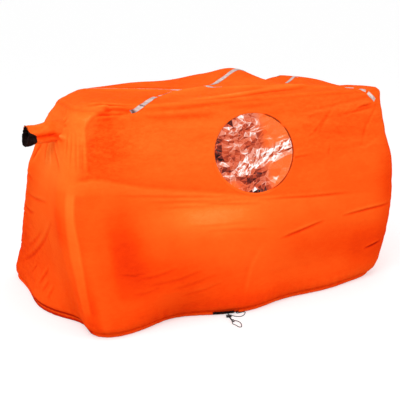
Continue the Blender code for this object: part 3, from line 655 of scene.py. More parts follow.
def noise(points, seed):
    """Smooth noise from about -1 to 1; one unit of the points is one wavelength."""
    rng = np.random.default_rng(seed)
    order = rng.permutation(256)
    slopes = rng.normal(size=(256, 3))
    slopes /= np.linalg.norm(slopes, axis=1, keepdims=True)
    cell = np.floor(points).astype(int)
    part = points - cell
    fade = part**3 * (part * (6 * part - 15) + 10)
    total = np.zeros(len(points))
    for corner in np.ndindex(2, 2, 2):
        at = (cell + corner) & 255
        slope = slopes[order[(order[(order[at[:, 0]] + at[:, 1]) & 255] + at[:, 2]) & 255]]
        weight = np.prod(np.where(corner, fade, 1 - fade), axis=1)
        total += weight * (slope * (part - corner)).sum(1)
    return total * 1.6


def ridged(points, seed):
    """Sharp creases between smooth swells, from 0 to 1 at a crease."""
    return (1 - np.minimum(np.abs(noise(points, seed)) * 1.8, 1)) ** 2


def along_line(places, line):
    """For each place: its distance from the line, positive above it, and how far along it is."""
    line = np.asarray(line, float)
    run, _ = run_of(line)
    best = np.full(len(places), np.inf)
    signed = np.zeros(len(places))
    part = np.zeros(len(places))
    for k in range(len(line) - 1):
        step = line[k + 1] - line[k]
        t = np.clip((places - line[k]) @ step / (step @ step), 0, 1)
        apart = places - (line[k] + t[:, None] * step)
        distance = np.linalg.norm(apart, axis=1)
        nearer = distance < best
        side = np.sign(step[0] * apart[:, 1] - step[1] * apart[:, 0])
        signed[nearer] = (side * distance)[nearer]
        part[nearer] = (run[k] + t * (run[k + 1] - run[k]))[nearer]
        best = np.minimum(best, distance)
    return signed, part


def smooth(value, low, high):
    t = np.clip((value - low) / (high - low), 0, 1)
    return t * t * (3 - 2 * t)


def swell(places, centre, reach):
    return np.exp(-(((places - centre) / np.array(reach)) ** 2).sum(1))


def fold(places, folds):
    """Height of grooves and ridges along the given lines, each with a lip beside it, and their tone:
    painted shade in a groove and painted light on its lip and on a ridge.
    """
    height = np.zeros(len(places))
    tone = np.zeros(len(places))
    for depth, width, line in folds:
        line = np.asarray(line, float)
        margin = 4 * width
        near = ((places > line.min(0) - margin) & (places < line.max(0) + margin)).all(axis=1)
        if not near.any():
            continue
        signed, part = along_line(places[near], line)
        taper = np.sin(np.clip(part, 0.02, 0.98) * math.pi) ** 0.6
        groove = np.exp(-((signed / width) ** 2)) * taper
        lip = np.exp(-(((signed - 1.8 * width) / (1.2 * width)) ** 2)) * taper
        height[near] += depth * (0.5 * lip - groove)
        # painted shade in the groove, painted light on the lip and on a ridge
        tone[near] += FOLD_SHADE_AND_LIGHT * max(depth, RIDGE_LIGHT_LIMIT) * (0.4 * lip - groove)
    return height, tone


def step_relief(places):
    """Height of the steps, which turn over their line and fade away on both sides, and the light and shade
    painted on their two sides.
    """
    height = np.zeros(len(places))
    tone = np.zeros(len(places))
    for rises, width, (raised_reach, raised_tone), (low_reach, low_tone), ramp, line in STEPS:
        line = np.asarray(line, float)
        margin = 4 * max(raised_reach, low_reach)
        near = ((places > line.min(0) - margin) & (places < line.max(0) + margin)).all(axis=1)
        if not near.any():
            continue
        signed, part = along_line(places[near], line)
        ends = smooth(part, 0.0, ramp) * smooth(1 - part, 0.0, 0.10)
        rise = (rises[0] + (rises[1] - rises[0]) * part) * ends
        low = smooth(signed, -width, width)
        raised = 1 - low
        fade_raised = np.exp(np.minimum(signed, 0) / raised_reach)
        fade_low = np.exp(-np.maximum(signed, 0) / low_reach)
        height[near] += rise * 0.5 * (raised * fade_raised - low * fade_low)
        share = ends * (0.35 + 0.65 * np.abs(rise) / (np.abs(rises).max() + 1e-9))
        tone[near] += share * (raised * raised_tone * fade_raised + low * low_tone * fade_low)
    return height, tone


def wall_relief(places):
    """Height of everything that is placed along the cloth, and the light and shade painted along with it.
    """
    height, tone = fold(places, FOLDS)
    step_height, step_tone = step_relief(places)
    height += step_height
    tone += step_tone
    for centre, reach, amount in SWELLS:
        height += amount * swell(places, centre, reach)
    # broad painted light and shade
    for centre, reach, amount in PAINTED_LIGHT_AND_SHADE:
        tone += amount * swell(places, centre, reach)
    # pleats down the front left corner, with painted shade in their grooves
    for line in PLEATS:
        signed, part = along_line(places, line)
        groove = np.exp(-((signed / PLEAT_WIDTH) ** 2)) * np.sin(part * math.pi)
        height -= PLEAT_DEPTH * groove
        tone -= PLEAT_SHADE * groove
    return height, tone


def relief(points, places, far_places, facing, vent):
    """How far the cloth stands out from its smooth form, and its tone: painted shade in its folds, hollows
    and low parts and painted light on its ridges and swells, with some tone that differs at random.

    places count from the front left corner, far_places from the back right one, and vent is each
    point's place from the middle of the breather sleeve, in units of its radius.
    """
    front, left, right, _, roof = facing
    walls = 1 - roof
    height, tone = wall_relief(places)
    far_height, far_tone = wall_relief(far_places * (0.97, 1.03) - (0.01, 0.012))
    height += 0.8 * far_height
    tone += 0.5 + 0.6 * far_tone
    for lines, at, weight in ((VENT_FOLDS, places, left), (ROOF_FOLDS, points[:, :2], roof)):
        fold_height, fold_tone = fold(at, lines)
        height += weight * fold_height
        tone += weight * fold_tone
    for centre, reach, amount in ROOF_SWELLS:
        height += amount * roof * swell(points[:, :2], centre, reach)
    x, y, z = points.T
    # painted light: the roof a little paler, and the left end paler high up and darker low down
    tone += 0.04 * roof + 0.14 * left * smooth(z, 0.35, 0.75) - 0.10 * left * smooth(-z, -0.45, -0.15)

    # fine streaks, with painted light on their crests and painted shade in their troughs
    bent = np.column_stack([x / 0.34, y / 0.34, z / 0.035]) + 0.35 * noise(points / 0.25, 3)[:, None]
    streaks = noise(bent, 5)
    high = smooth(z, 0.50, 0.80)
    height += (0.0006 + 0.0012 * high * walls) * streaks
    tone += (0.02 + 0.07 * high) * streaks
    slant = np.column_stack([(x + 0.8 * z) / 0.05, y / 0.12, (z - 0.5 * x) / 0.22])
    height += 0.0008 * noise(slant, 7) * smooth(-z, -0.42, -0.2)
    tone += 0.05 * noise(points / (0.30, 0.30, 0.16), 17)
    slanted = np.column_stack([(x + 0.5 * z) / 0.018, y / 0.018, (z - 0.4 * x) / 0.032])
    crumple = ridged(slanted + 0.5 * noise(points / 0.03, 9)[:, None], 11)
    recess = front * swell(places, (0.11, 0.74), (0.12, 0.10))
    shallow = 0.25 * smooth(z, 0.58, 0.66) + 0.15 * roof
    # crumples, with painted shade in their creases
    height -= 0.0013 * crumple * (0.10 + 0.6 * recess + shallow)
    tone -= 0.055 * crumple * (0.06 + 0.6 * recess + shallow)
    ripple = noise(np.column_stack([places[:, 0] / 0.16, z / 0.030, 0 * z]), 19)
    ends = (left + right) * smooth(np.abs(places[:, 0]), 0.48, 0.62) * smooth(-z, -0.66, -0.5)
    height += 0.0022 * ripple * ends

    # gathers over the hem, with painted light and shade on them
    gather = noise(np.column_stack([places[:, 0] / 0.028, z / 0.2, 0 * z]), 13)
    gather += 0.6 * noise(np.column_stack([places[:, 0] / 0.013, z / 0.12, 0 * z]), 15)
    hem = np.exp(-(z / 0.040)) * walls
    height += 0.0030 * gather * hem
    tone += 0.08 * gather * hem
    # the hem's seam groove, with a painted shade line strongest where the hem turns under along the left
    # end, and a band of painted light below it there
    turned = smooth(-places[:, 0], 0.02, 0.10) * smooth(places[:, 0] + 0.60, 0.0, 0.10)
    seam_level = HEM_TOP + 0.008 + 0.005 * turned
    seam = np.exp(-(((z - seam_level) / 0.0040) ** 2)) * walls
    height -= 0.0040 * seam
    tone -= (0.10 + 0.95 * turned) * seam
    tone += 0.14 * turned * smooth(seam_level - z, 0.004, 0.014) * walls

    # the eave's seam ridge, with painted light on it and painted shade just below
    eave = places[:, 1] - EAVE
    height += 0.0014 * np.exp(-((eave / 0.005) ** 2))
    tone += 0.05 * np.exp(-((eave / 0.005) ** 2)) - 0.06 * np.exp(-(((eave + 0.012) / 0.005) ** 2))

    # pleats round the breather sleeve's root, with painted light and shade on them
    radius = np.linalg.norm(vent, axis=1)
    angle = np.arctan2(vent[:, 1], vent[:, 0])
    root = np.exp(-(np.maximum(radius - 1, 0) / 0.75))
    pleats = np.cos(11 * angle + 2.2 * noise(points / 0.05, 23))
    height += (0.012 * (1 - 0.6 * np.sin(angle)) + 0.0022 * pleats) * root * (radius < 8)
    tone += 0.06 * pleats * root * (radius < 8)

    crinkle = 0.15 + 0.12 * roof + 0.17 * walls * smooth(z, 0.46, 0.78) + 0.30 * recess
    crinkle += 0.12 * front * swell(places, (0.75, 0.480), (0.50, 0.060))
    crinkle += 0.14 * front * swell(places, (1.22, 0.70), (0.26, 0.15)) + 0.2 * hem
    crinkle += 0.18 * left * smooth(-places[:, 0], 0.30, 0.60) * smooth(-z, -0.40, -0.20)
    crinkle *= 1 - 0.35 * left * smooth(z, 0.35, 0.50)
    return height, tone, np.clip(crinkle, 0, 1.2)


# Meshes

PLAIN_CRINKLE = 0.22  # how strongly cloth is crinkled where nothing else says so


def new_collection(name):
    collection = bpy.data.collections.new(name)
    bpy.context.scene.collection.children.link(collection)
    return collection


PIECES = new_collection("dressed_bag")


def belongs(piece, body, replaced=None):
    """The body that the piece rides on and the solid that it takes the place of."""
    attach(piece, body)
    if replaced:
        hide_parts(replaced)


def mesh_piece(name, points, faces, material, uv=None, tone=None, normals=None, patch=None, crinkle=None):
    """A smooth-shaded mesh from arrays; uv is per point, in metres along the cloth.

    tone and crinkle are numbers per point, patch is a number per face, and normals are the way that
    each point faces where that comes from more cloth than this piece has.
    """
    mesh = bpy.data.meshes.new(name)
    mesh.from_pydata(np.asarray(points).tolist(), [], [list(face) for face in faces])
    mesh.shade_smooth()
    mesh.materials.append(material)
    if uv is not None:
        layer = mesh.uv_layers.new(name="cloth")
        corners = np.empty(len(mesh.loops), int)
        mesh.loops.foreach_get("vertex_index", corners)
        layer.data.foreach_set("uv", np.asarray(uv)[corners].ravel())
    if tone is not None and crinkle is None:
        crinkle = np.full(len(points), PLAIN_CRINKLE)
    kinds = ((tone, "tone", "POINT"), (crinkle, "crinkle", "POINT"), (patch, "patch", "FACE"))
    for values, label, domain in kinds:
        if values is not None:
            made = mesh.attributes.new(label, "FLOAT", domain)
            made.data.foreach_set("value", np.asarray(values, np.float32))
    if normals is not None:
        mesh.normals_split_custom_set_from_vertices(np.asarray(normals).tolist())
    obj = bpy.data.objects.new(name, mesh)
    PIECES.objects.link(obj)
    return obj


def grid_faces(index):
    corners = (index[:-1, :-1], index[:-1, 1:], index[1:, 1:], index[1:, :-1])
    return np.stack(corners, -1).reshape(-1, 4)


def grid_piece(name, grid, material, around=False, tone=None):
    """A cloth piece from a grid of points; around joins the last column to the first."""
    rows, columns = grid.shape[:2]
    index = np.arange(rows * columns).reshape(rows, columns)
    if around:
        index = np.hstack([index, index[:, :1]])
    step_u = np.linalg.norm(np.diff(grid, axis=1), axis=2)
    step_v = np.linalg.norm(np.diff(grid, axis=0), axis=2)
    u = np.hstack([np.zeros((rows, 1)), np.cumsum(step_u, axis=1)])
    v = np.vstack([np.zeros((1, columns)), np.cumsum(step_v, axis=0)])
    uv = np.stack([u, v], -1).reshape(-1, 2)
    if tone is not None:
        tone = np.asarray(tone).ravel()
    return mesh_piece(name, grid.reshape(-1, 3), grid_faces(index), material, uv, tone)


def frames_along(points):
    """Two directions across the line at each point, turned as little as possible along it."""
    way = np.gradient(points, axis=0)
    way /= np.linalg.norm(way, axis=1, keepdims=True)
    side = np.zeros_like(way)
    first = np.cross(way[0], (0, 0, 1))
    side[0] = first / np.linalg.norm(first)
    for k in range(1, len(points)):
        moved = side[k - 1] - way[k] * (side[k - 1] @ way[k])
        side[k] = moved / np.linalg.norm(moved)
    return side, np.cross(way, side)


def smooth_route(points, step):
    """Evenly spaced points on a smooth curve through the route's own points."""
    fine = read_rows(points, np.linspace(0, len(points) - 1, 20 * len(points)))
    along, length = run_of(fine)
    wanted = np.linspace(0, 1, max(2, round(length / step)) + 1)
    return np.column_stack([np.interp(wanted, along, fine[:, k]) for k in range(3)])


def braided(name, route, radius, material):
    """A braided cord along a route: its strands stand out a little as they wind both ways."""
    points = smooth_route(route, radius * 0.45)
    side, up = frames_along(points)
    _, length = run_of(points)
    along = np.linspace(0, length, len(points))[:, None]
    angle = np.linspace(0, 2 * math.pi, 16, endpoint=False)[None, :]
    wind = along / (radius * 4.2) * 2 * math.pi
    strands = np.maximum(np.cos(4 * (angle + wind / 4)), np.cos(4 * (angle - wind / 4)))
    reach = radius * (0.95 + 0.05 * strands)
    reach[0] *= 0.8
    reach[-1] *= 0.8
    ring = np.cos(angle)[..., None] * side[:, None] + np.sin(angle)[..., None] * up[:, None]
    tube = points[:, None] + reach[..., None] * ring
    tube[..., 2] = np.maximum(tube[..., 2], 0.0)
    piece = grid_piece(name, tube, material, around=True)
    cap_ends(piece)
    return piece, points


def cap_ends(piece):
    bm = bmesh.new()
    bm.from_mesh(piece.data)
    bmesh.ops.holes_fill(bm, edges=[e for e in bm.edges if e.is_boundary], sides=64)
    bmesh.ops.recalc_face_normals(bm, faces=bm.faces)
    bm.to_mesh(piece.data)
    bm.free()


# Materials


def material_of(name, color, roughness, sockets=()):
    """A new Principled material, with uniform values set on the shader's own sockets."""
    material = bpy.data.materials.new(name)
    material.use_nodes = True
    shader = material.node_tree.nodes["Principled BSDF"]
    shader.inputs["Base Color"].default_value = (*color, 1)
    shader.inputs["Roughness"].default_value = roughness
    for socket, value in dict(sockets).items():
        shader.inputs[socket].default_value = value
    return material


def node(material, kind, links=(), **settings):
    """A node of the kind; links are (its input, another node's output) or (its input, value)."""
    made = material.node_tree.nodes.new("ShaderNode" + kind)
    for key, value in settings.items():
        setattr(made, key, value)
    for name, source in dict(links).items():
        if isinstance(source, bpy.types.NodeSocket):
            material.node_tree.links.new(source, made.inputs[name])
        else:
            made.inputs[name].default_value = source
    return made


def shader_of(material):
    return material.node_tree.nodes["Principled BSDF"]


def link(material, source, socket):
    material.node_tree.links.new(source, shader_of(material).inputs[socket])


def ramp_node(material, source, stops):
    ramp = node(material, "ValToRGB", {"Fac": source})
    elements = ramp.color_ramp.elements
    while len(elements) < len(stops):
        elements.new(0.5)
    for element, (position, color) in zip(elements, stops):
        element.position = position
        element.color = (*color, 1)
    return ramp


def math_node(material, operation, first, second=0.0, third=None):
    values = {0: first, 1: second} if third is None else {0: first, 1: second, 2: third}
    return node(material, "Math", values, operation=operation).outputs[0]


def object_place(material):
    return node(material, "TexCoord").outputs["Object"]


def attribute(material, name):
    return node(material, "Attribute", attribute_name=name).outputs["Fac"]


def texture(material, place, scale, detail, **others):
    """The value of a noise texture; others are its further inputs, by their names."""
    links = {"Vector": place, "Scale": scale, "Detail": detail, **others}
    return node(material, "TexNoise", links).outputs["Fac"]


def color_by(material, value, stops):
    link(material, ramp_node(material, value, stops).outputs[0], "Base Color")


def shades(color, *stops):
    """Stops of a ramp from (position, share of the colour)."""
    return [(at, tuple(shade * part for part in color)) for at, shade in stops]


def weave_height(material, coordinates, pitch, square=0.0):
    """Height of a plain weave at the given pitch, with a raised square grid where asked."""
    split = node(material, "SeparateXYZ", {0: coordinates})
    waves = []
    for axis in (0, 1):
        turned = math_node(material, "MULTIPLY", split.outputs[axis], 2 * math.pi / pitch)
        waves.append(math_node(material, "SINE", turned))
    height = math_node(material, "MULTIPLY", waves[0], waves[1])
    if square:
        for axis in (0, 1):
            turned = math_node(material, "MULTIPLY", split.outputs[axis], math.pi / square)
            line = math_node(material, "ABSOLUTE", math_node(material, "SINE", turned))
            thread = math_node(material, "LESS_THAN", line, 0.12)
            height = math_node(material, "ADD", height, thread)
    return height


def bump(material, height, distance, strength=1.0, normal=None):
    links = {"Height": height, "Distance": distance, "Strength": strength}
    if normal is not None:
        links["Normal"] = normal
    return node(material, "Bump", links).outputs[0]


def shelter_cloth(name, stops):
    """Thin coated cloth: its colour follows the tone attribute, which carries painted shade and light from
    the folds, with fine crinkles that get painted shade along their crease lines, and a close weave.
    """
    coat = {"Specular IOR Level": 0.0, "Coat Weight": 0.02, "Coat Roughness": 0.4}
    material = material_of(name, stops[3][1], 0.5, coat)
    uv = node(material, "UVMap", uv_map="cloth").outputs[0]
    place = object_place(material)
    tone = attribute(material, "tone")
    crinkle = attribute(material, "crinkle")
    drawn = {"Vector": place, "Rotation": (0, -0.26, 0), "Scale": (0.55, 0.55, 1.35)}
    flow = node(material, "Mapping", drawn).outputs[0]
    cloud = texture(material, place, 9.0, 4.0)
    fine = texture(material, flow, 62.0, 5.0, Roughness=0.6)
    veins = texture(material, flow, 44.0, 3.0, Distortion=0.9)
    veins = math_node(material, "ABSOLUTE", math_node(material, "SUBTRACT", veins, 0.5))
    crease = node(material, "MapRange", {"Value": veins, "From Max": 0.05, "To Min": 1.0, "To Max": 0.0})
    crease = crease.outputs[0]
    shade = math_node(material, "MULTIPLY", math_node(material, "SUBTRACT", cloud, 0.5), 0.14)
    grain = math_node(material, "MULTIPLY", math_node(material, "SUBTRACT", fine, 0.5), 0.80)
    # painted shade along the fine crease lines
    grain = math_node(material, "SUBTRACT", grain, math_node(material, "MULTIPLY", crease, 0.15))
    grain = math_node(material, "MULTIPLY", grain, crinkle)
    total = math_node(material, "ADD", math_node(material, "ADD", tone, shade), grain)
    color_by(material, total, stops)
    link(material, math_node(material, "MULTIPLY_ADD", fine, 0.20, 0.40), "Roughness")
    height = math_node(material, "SUBTRACT", fine, math_node(material, "MULTIPLY", crease, 0.5))
    normal = bump(material, height, 0.0016, strength=crinkle)
    normal = bump(material, weave_height(material, uv, 0.0007, 0.005), 0.00006, normal=normal)
    link(material, normal, "Normal")
    return material


def black_cloth(name, pitch=0.0012):
    material = material_of(name, (0.010, 0.006, 0.006), 0.7, {"Specular IOR Level": 0.06})
    uv = node(material, "UVMap", uv_map="cloth").outputs[0]
    fine = texture(material, object_place(material), 90.0, 4.0)
    color_by(material, fine, ((0.3, (0.004, 0.002, 0.002)), (0.7, (0.018, 0.007, 0.006))))
    normal = bump(material, fine, 0.0006)
    link(material, bump(material, weave_height(material, uv, pitch), 0.00015, normal=normal), "Normal")
    return material


def film_material():
    """Clear film gone crumpled: each facet gets its own share of painted glare, of the cloth's colour and
    of painted shade from dark hollows.
    """
    material = material_of("clear_film", (0.9, 0.6, 0.5), 0.18, {"Specular IOR Level": 0.08})
    fine = texture(material, object_place(material), 60.0, 4.0, Distortion=1.5)
    spread = math_node(material, "MULTIPLY_ADD", fine, 0.16, -0.08)
    total = math_node(material, "ADD", attribute(material, "patch"), attribute(material, "tone"))
    total = math_node(material, "ADD", total, spread)
    crumple = attribute(material, "crinkle")
    both = node(material, "Mix", {"Factor": crumple}, data_type="RGBA", blend_type="MIX")
    for stops, socket in ((CALM_STOPS, 6), (FILM_STOPS, 7)):
        ramp = ramp_node(material, total, stops)
        material.node_tree.links.new(ramp.outputs[0], both.inputs[socket])
    link(material, both.outputs[2], "Base Color")
    link(material, bump(material, fine, 0.0010), "Normal")
    return material


def reflective_material():
    material = material_of("reflective_tape", (0.62, 0.63, 0.66), 0.34, {"Metallic": 0.25})
    uv = node(material, "UVMap", uv_map="cloth").outputs[0]
    fine = texture(material, object_place(material), 45.0, 4.0)
    shade = math_node(material, "MULTIPLY_ADD", fine, 0.4, -0.2)
    color_by(material, math_node(material, "ADD", attribute(material, "tone"), shade), SILVER_STOPS)
    normal = bump(material, fine, 0.0012)
    link(material, bump(material, weave_height(material, uv, 0.0008), 0.00008, normal=normal), "Normal")
    return material


def speckled(name, color, roughness, grain, stops, depth, sockets):
    """A plain material with fine specks; grain is the scale and detail of their texture."""
    material = material_of(name, color, roughness, sockets)
    fine = texture(material, object_place(material), *grain)
    color_by(material, fine, stops)
    link(material, bump(material, fine, depth), "Normal")
    return material, fine


def cord_material():
    stops = ((0.35, (0.004, 0.003, 0.003)), (0.65, (0.018, 0.014, 0.014)))
    sockets = {"Specular IOR Level": 0.2}
    return speckled("cord", (0.008, 0.006, 0.006), 0.7, (1400.0, 3.0), stops, 0.0002, sockets)[0]


def plastic_material(name, color, roughness, metallic=0.0):
    stops = shades(color, (0.3, 0.8), (0.7, 1.25))
    sockets = {"Metallic": metallic}
    material, fine = speckled(name, color, roughness, (900.0, 3.0), stops, 0.00008, sockets)
    link(material, math_node(material, "MULTIPLY_ADD", fine, 0.2, roughness - 0.1), "Roughness")
    return material


def thread_material(name, color):
    stops = shades(color, (0.35, 0.75), (0.65, 1.15))
    sockets = {"Specular IOR Level": 0.2}
    return speckled(name, color, 0.55, (2500.0, 2.0), stops, 0.0001, sockets)[0]


# Colours from the darkest tone to the palest
# the cloth's tone runs from painted shade in folds and hollows to painted light on ridges and swells
ORANGE_STOPS = (
    (0.00, (0.50, 0.016, 0.0015)),
    (0.14, (0.80, 0.034, 0.002)),
    (0.30, (0.93, 0.061, 0.003)),
    (0.50, (0.98, 0.105, 0.008)),
    (0.75, (1.00, 0.165, 0.018)),
    (1.00, (1.00, 0.270, 0.055)),
)
TAPE_STOPS = (
    (0.00, (0.40, 0.03, 0.006)),
    (0.14, (0.50, 0.045, 0.008)),
    (0.30, (0.60, 0.065, 0.010)),
    (0.50, (0.72, 0.090, 0.015)),
    (0.75, (0.78, 0.110, 0.020)),
    (1.00, (0.85, 0.150, 0.030)),
)
# The crumpled film's colours, from the painted shade of dark hollows to white painted glare
FILM_STOPS = (
    (0.00, (0.014, 0.005, 0.005)),
    (0.14, (0.070, 0.012, 0.011)),
    (0.28, (0.235, 0.028, 0.015)),
    (0.42, (0.530, 0.066, 0.024)),
    (0.54, (0.700, 0.144, 0.068)),
    (0.66, (0.770, 0.280, 0.190)),
    (0.79, (0.840, 0.510, 0.440)),
    (0.90, (0.960, 0.800, 0.750)),
    (1.00, (0.980, 0.950, 0.940)),
)
# The same film where it lies calm and the cloth's colour shows in it, also up to white painted glare
CALM_STOPS = (
    (0.00, (0.050, 0.008, 0.006)),
    (0.16, (0.400, 0.030, 0.008)),
    (0.38, (0.860, 0.095, 0.012)),
    (0.52, (0.930, 0.150, 0.024)),
    (0.66, (0.950, 0.230, 0.080)),
    (0.84, (0.960, 0.550, 0.400)),
    (1.00, (0.980, 0.900, 0.860)),
)
SILVER_STOPS = (
    (0.00, (0.12, 0.04, 0.035)),
    (0.30, (0.40, 0.26, 0.25)),
    (0.55, (0.62, 0.46, 0.43)),
    (0.80, (0.86, 0.70, 0.65)),
    (1.00, (0.98, 0.62, 0.50)),
)
# The sewn edge of the window's hole
RIM_STOPS = (
    (0.00, (0.190, 0.024, 0.007)),
    (0.14, (0.360, 0.034, 0.006)),
    (0.30, (0.720, 0.050, 0.004)),
    (0.50, (0.980, 0.105, 0.008)),
    (0.75, (1.000, 0.165, 0.018)),
    (1.00, (1.000, 0.270, 0.055)),
)


# Shell: the four walls and the roof, made as one cloth and parted at the seams

FAR_OFF = 9  # in radii of a hole: nowhere near it
RAY_START = 1.5  # outside the bag, on every side
EDGE_TURN = 0.005  # how far the lowest row of the walls is turned down into the hem


def shell_grids():
    right_steps = LEFT_STEPS + 2 * (CORNER_STEPS[0] - CORNER_STEPS[1])
    steps = (LONG_STEPS, right_steps, LONG_STEPS, LEFT_STEPS)
    walls = [wall_grid(side, count) for side, count in enumerate(steps)]
    return [pushed(wall) for wall in walls], pushed(roof_grid(*walls))


def around_from(along, total, column):
    """Distance along each closed row from the given column, negative on the nearer way back."""
    apart = (along - along[:, column : column + 1]) % total[:, None]
    return np.where(apart > total[:, None] / 2, apart - total[:, None], apart)


def shell_arrays():
    """Points of the skin, their places counted from two corners, and an index grid per panel."""
    walls, roof = shell_grids()
    ring = np.concatenate([wall[:, :-1] for wall in walls], axis=1)
    rows, columns = ring.shape[:2]
    index = np.arange(rows * columns).reshape(rows, columns)
    starts = np.cumsum([0] + [wall.shape[1] - 1 for wall in walls])
    turned = [np.arange(starts[k], starts[k + 1] + 1) % columns for k in range(4)]
    panels = {name: index[:, turned[k]] for k, name in enumerate(PANELS)}
    roof_index = np.full(roof.shape[:2], -1)
    inner = roof_index[1:-1, 1:-1]
    inner[:] = rows * columns + np.arange(inner.size).reshape(inner.shape)
    top = [panels[name][-1] for name in PANELS]
    roof_index[0], roof_index[-1] = top[0], top[2][::-1]
    roof_index[:, -1], roof_index[:, 0] = top[1], top[3][::-1]
    panels["roof"] = roof_index
    points = np.vstack([ring.reshape(-1, 3), roof[1:-1, 1:-1].reshape(-1, 3)])

    step = np.linalg.norm(np.diff(np.hstack([ring, ring[:, :1]]), axis=1), axis=2)
    along = np.hstack([np.zeros((rows, 1)), np.cumsum(step, axis=1)])
    total = along[:, -1]
    roof_step = np.linalg.norm(np.diff(roof, axis=0), axis=2)
    deep = np.vstack([np.zeros((1, roof.shape[1])), np.cumsum(roof_step, axis=0)])
    places = []
    for column, top_row, depth in ((0, 0, deep), (starts[2], 2, deep[-1] - deep)):
        run = around_from(along[:, :-1], total, column)
        edge = run[-1, turned[top_row]]
        edge = edge if top_row == 0 else edge[::-1]
        over = np.stack([np.broadcast_to(edge, deep.shape), EAVE + depth], -1)
        wall = np.stack([run, ring[..., 2]], -1)
        places.append(np.vstack([wall.reshape(-1, 2), over[1:-1, 1:-1].reshape(-1, 2)]))
    return points, places[0], places[1], panels


def normals_of(points, faces):
    """The direction out of the cloth at each point."""
    first, second, third, fourth = (points[faces[:, k]] for k in range(4))
    across = np.cross(third - first, fourth - second)
    total = np.zeros_like(points)
    for k in range(4):
        for axis in range(3):
            total[:, axis] += np.bincount(faces[:, k], across[:, axis], len(points))
    length = np.linalg.norm(total, axis=1, keepdims=True)
    return total / np.maximum(length, 1e-12)


def snap_hole(points, places, far_places, faces, local, rim, course):
    """Cuts a round hole: points just inside move onto its edge, and the faces inside go.

    local holds each point's place in units of the hole's half width and height, and course is the
    way along the cloth in plan. It gives the faces that stay and the edge's points in order.
    """
    radius = np.linalg.norm(local, axis=1)
    inside = radius < 1
    mixed = inside[faces].any(axis=1) & ~inside[faces].all(axis=1)
    edge = np.unique(faces[mixed])
    edge = edge[inside[edge]]
    way = local[edge] / radius[edge, None]
    moved = rim(way) - points[edge]
    sideways = np.hypot(moved[:, 0], moved[:, 1]) * np.sign(moved[:, :2] @ course)
    for where in (places, far_places):
        where[edge] += np.column_stack([sideways, moved[:, 2]])
    points[edge] += moved
    local[edge] = way
    on_edge = np.zeros(len(points), bool)
    on_edge[edge] = True
    kept = ~(inside[faces] & ~on_edge[faces]).any(axis=1) & ~on_edge[faces].all(axis=1)
    faces = faces[kept]
    edge = edge[np.isin(edge, faces)]
    return faces, edge[np.argsort(np.arctan2(local[edge, 1], local[edge, 0]))]


def drop_unused(points, faces, *others):
    used = np.unique(faces)
    renumber = np.full(len(points), -1)
    renumber[used] = np.arange(len(used))
    return [points[used], renumber[faces], *[other[used] for other in others]]


def base_surface(points, faces):
    return BVHTree.FromPolygons(points.tolist(), faces.tolist())


def front_hits(surface, flat):
    """Points on the surface straight behind the given x and z, and the way out of it there."""
    hits = [surface.ray_cast((x, -RAY_START, z), (0, 1, 0)) for x, z in flat]
    normals = np.array([hit[1] for hit in hits])
    return np.array([hit[0] for hit in hits]), -normals * np.sign(normals[:, 1:2])


def end_hit(surface, y, z):
    return surface.ray_cast((-RAY_START, y, z), (1, 0, 0))[0]


def build_shell(material):
    """The five panels. It gives what the other pieces are laid on and fitted to."""
    points, places, far_places, panels = shell_arrays()
    faces = {name: grid_faces(index) for name, index in panels.items()}
    skin = np.vstack(list(faces.values()))
    normals = normals_of(points, skin)
    points = points + normals * CLOTH
    smooth_skin = base_surface(points, skin)
    window = np.column_stack([points[:, 0] - WINDOW_X, points[:, 2] - WINDOW_Z]) / WINDOW_HALF
    window[points[:, 1] > 0] = FAR_OFF
    vent = np.column_stack([points[:, 1] - VENT_Y, points[:, 2] - VENT_Z]) / (VENT_RADIUS + CLOTH)
    vent[points[:, 0] > -0.5] = FAR_OFF

    def window_edge(way):
        return front_hits(smooth_skin, way * WINDOW_HALF + (WINDOW_X, WINDOW_Z))[0]

    def vent_edge(way):
        flat = way * (VENT_RADIUS + CLOTH) + (VENT_Y, VENT_Z)
        return np.array([end_hit(smooth_skin, y, z) for y, z in flat])

    holes = {}
    for panel, local, rim, course in (
        ("front", window, window_edge, (1, 0)),
        ("left", vent, vent_edge, (0, -1)),
    ):
        faces[panel], holes[panel] = snap_hole(
            points, places, far_places, faces[panel], local, rim, np.array(course)
        )

    facing = [smooth(-normals[:, 1], 0.4, 0.8), smooth(-normals[:, 0], 0.4, 0.8)]
    facing += [smooth(normals[:, 0], 0.4, 0.8), smooth(normals[:, 1], 0.4, 0.8)]
    facing.append(smooth(normals[:, 2], 0.6, 0.9))
    height, tone, crinkle = relief(points, places, far_places, facing, vent)
    calm = smooth(np.linalg.norm(window, axis=1), 1.0, 1.3)
    height *= 0.3 + 0.7 * calm
    smooth_points = points
    points = points + normals * height[:, None]
    lowest = places[:, 1] < HEM_TOP + 1e-4
    points[lowest, 2] -= EDGE_TURN

    whole = np.vstack(list(faces.values()))
    shading = normals_of(points, whole)
    for panel, (node_name, size, area) in PANEL_CUTS.items():
        if panel in PLAIN_PANELS:
            faces[panel] = grid_faces(panels[panel][::2, ::2])
        part = drop_unused(points, faces[panel], places, tone, shading, crinkle)
        piece = mesh_piece(f"{panel}_cloth", *part[:2], material, *part[2:5], crinkle=part[5])
        belongs(piece, "bag", node_name)
    return {
        "points": points,
        "smooth": smooth_points,
        "normals": shading,
        "panels": panels,
        "holes": holes,
        "surface": base_surface(points, whole),
        "skin": smooth_skin,
    }


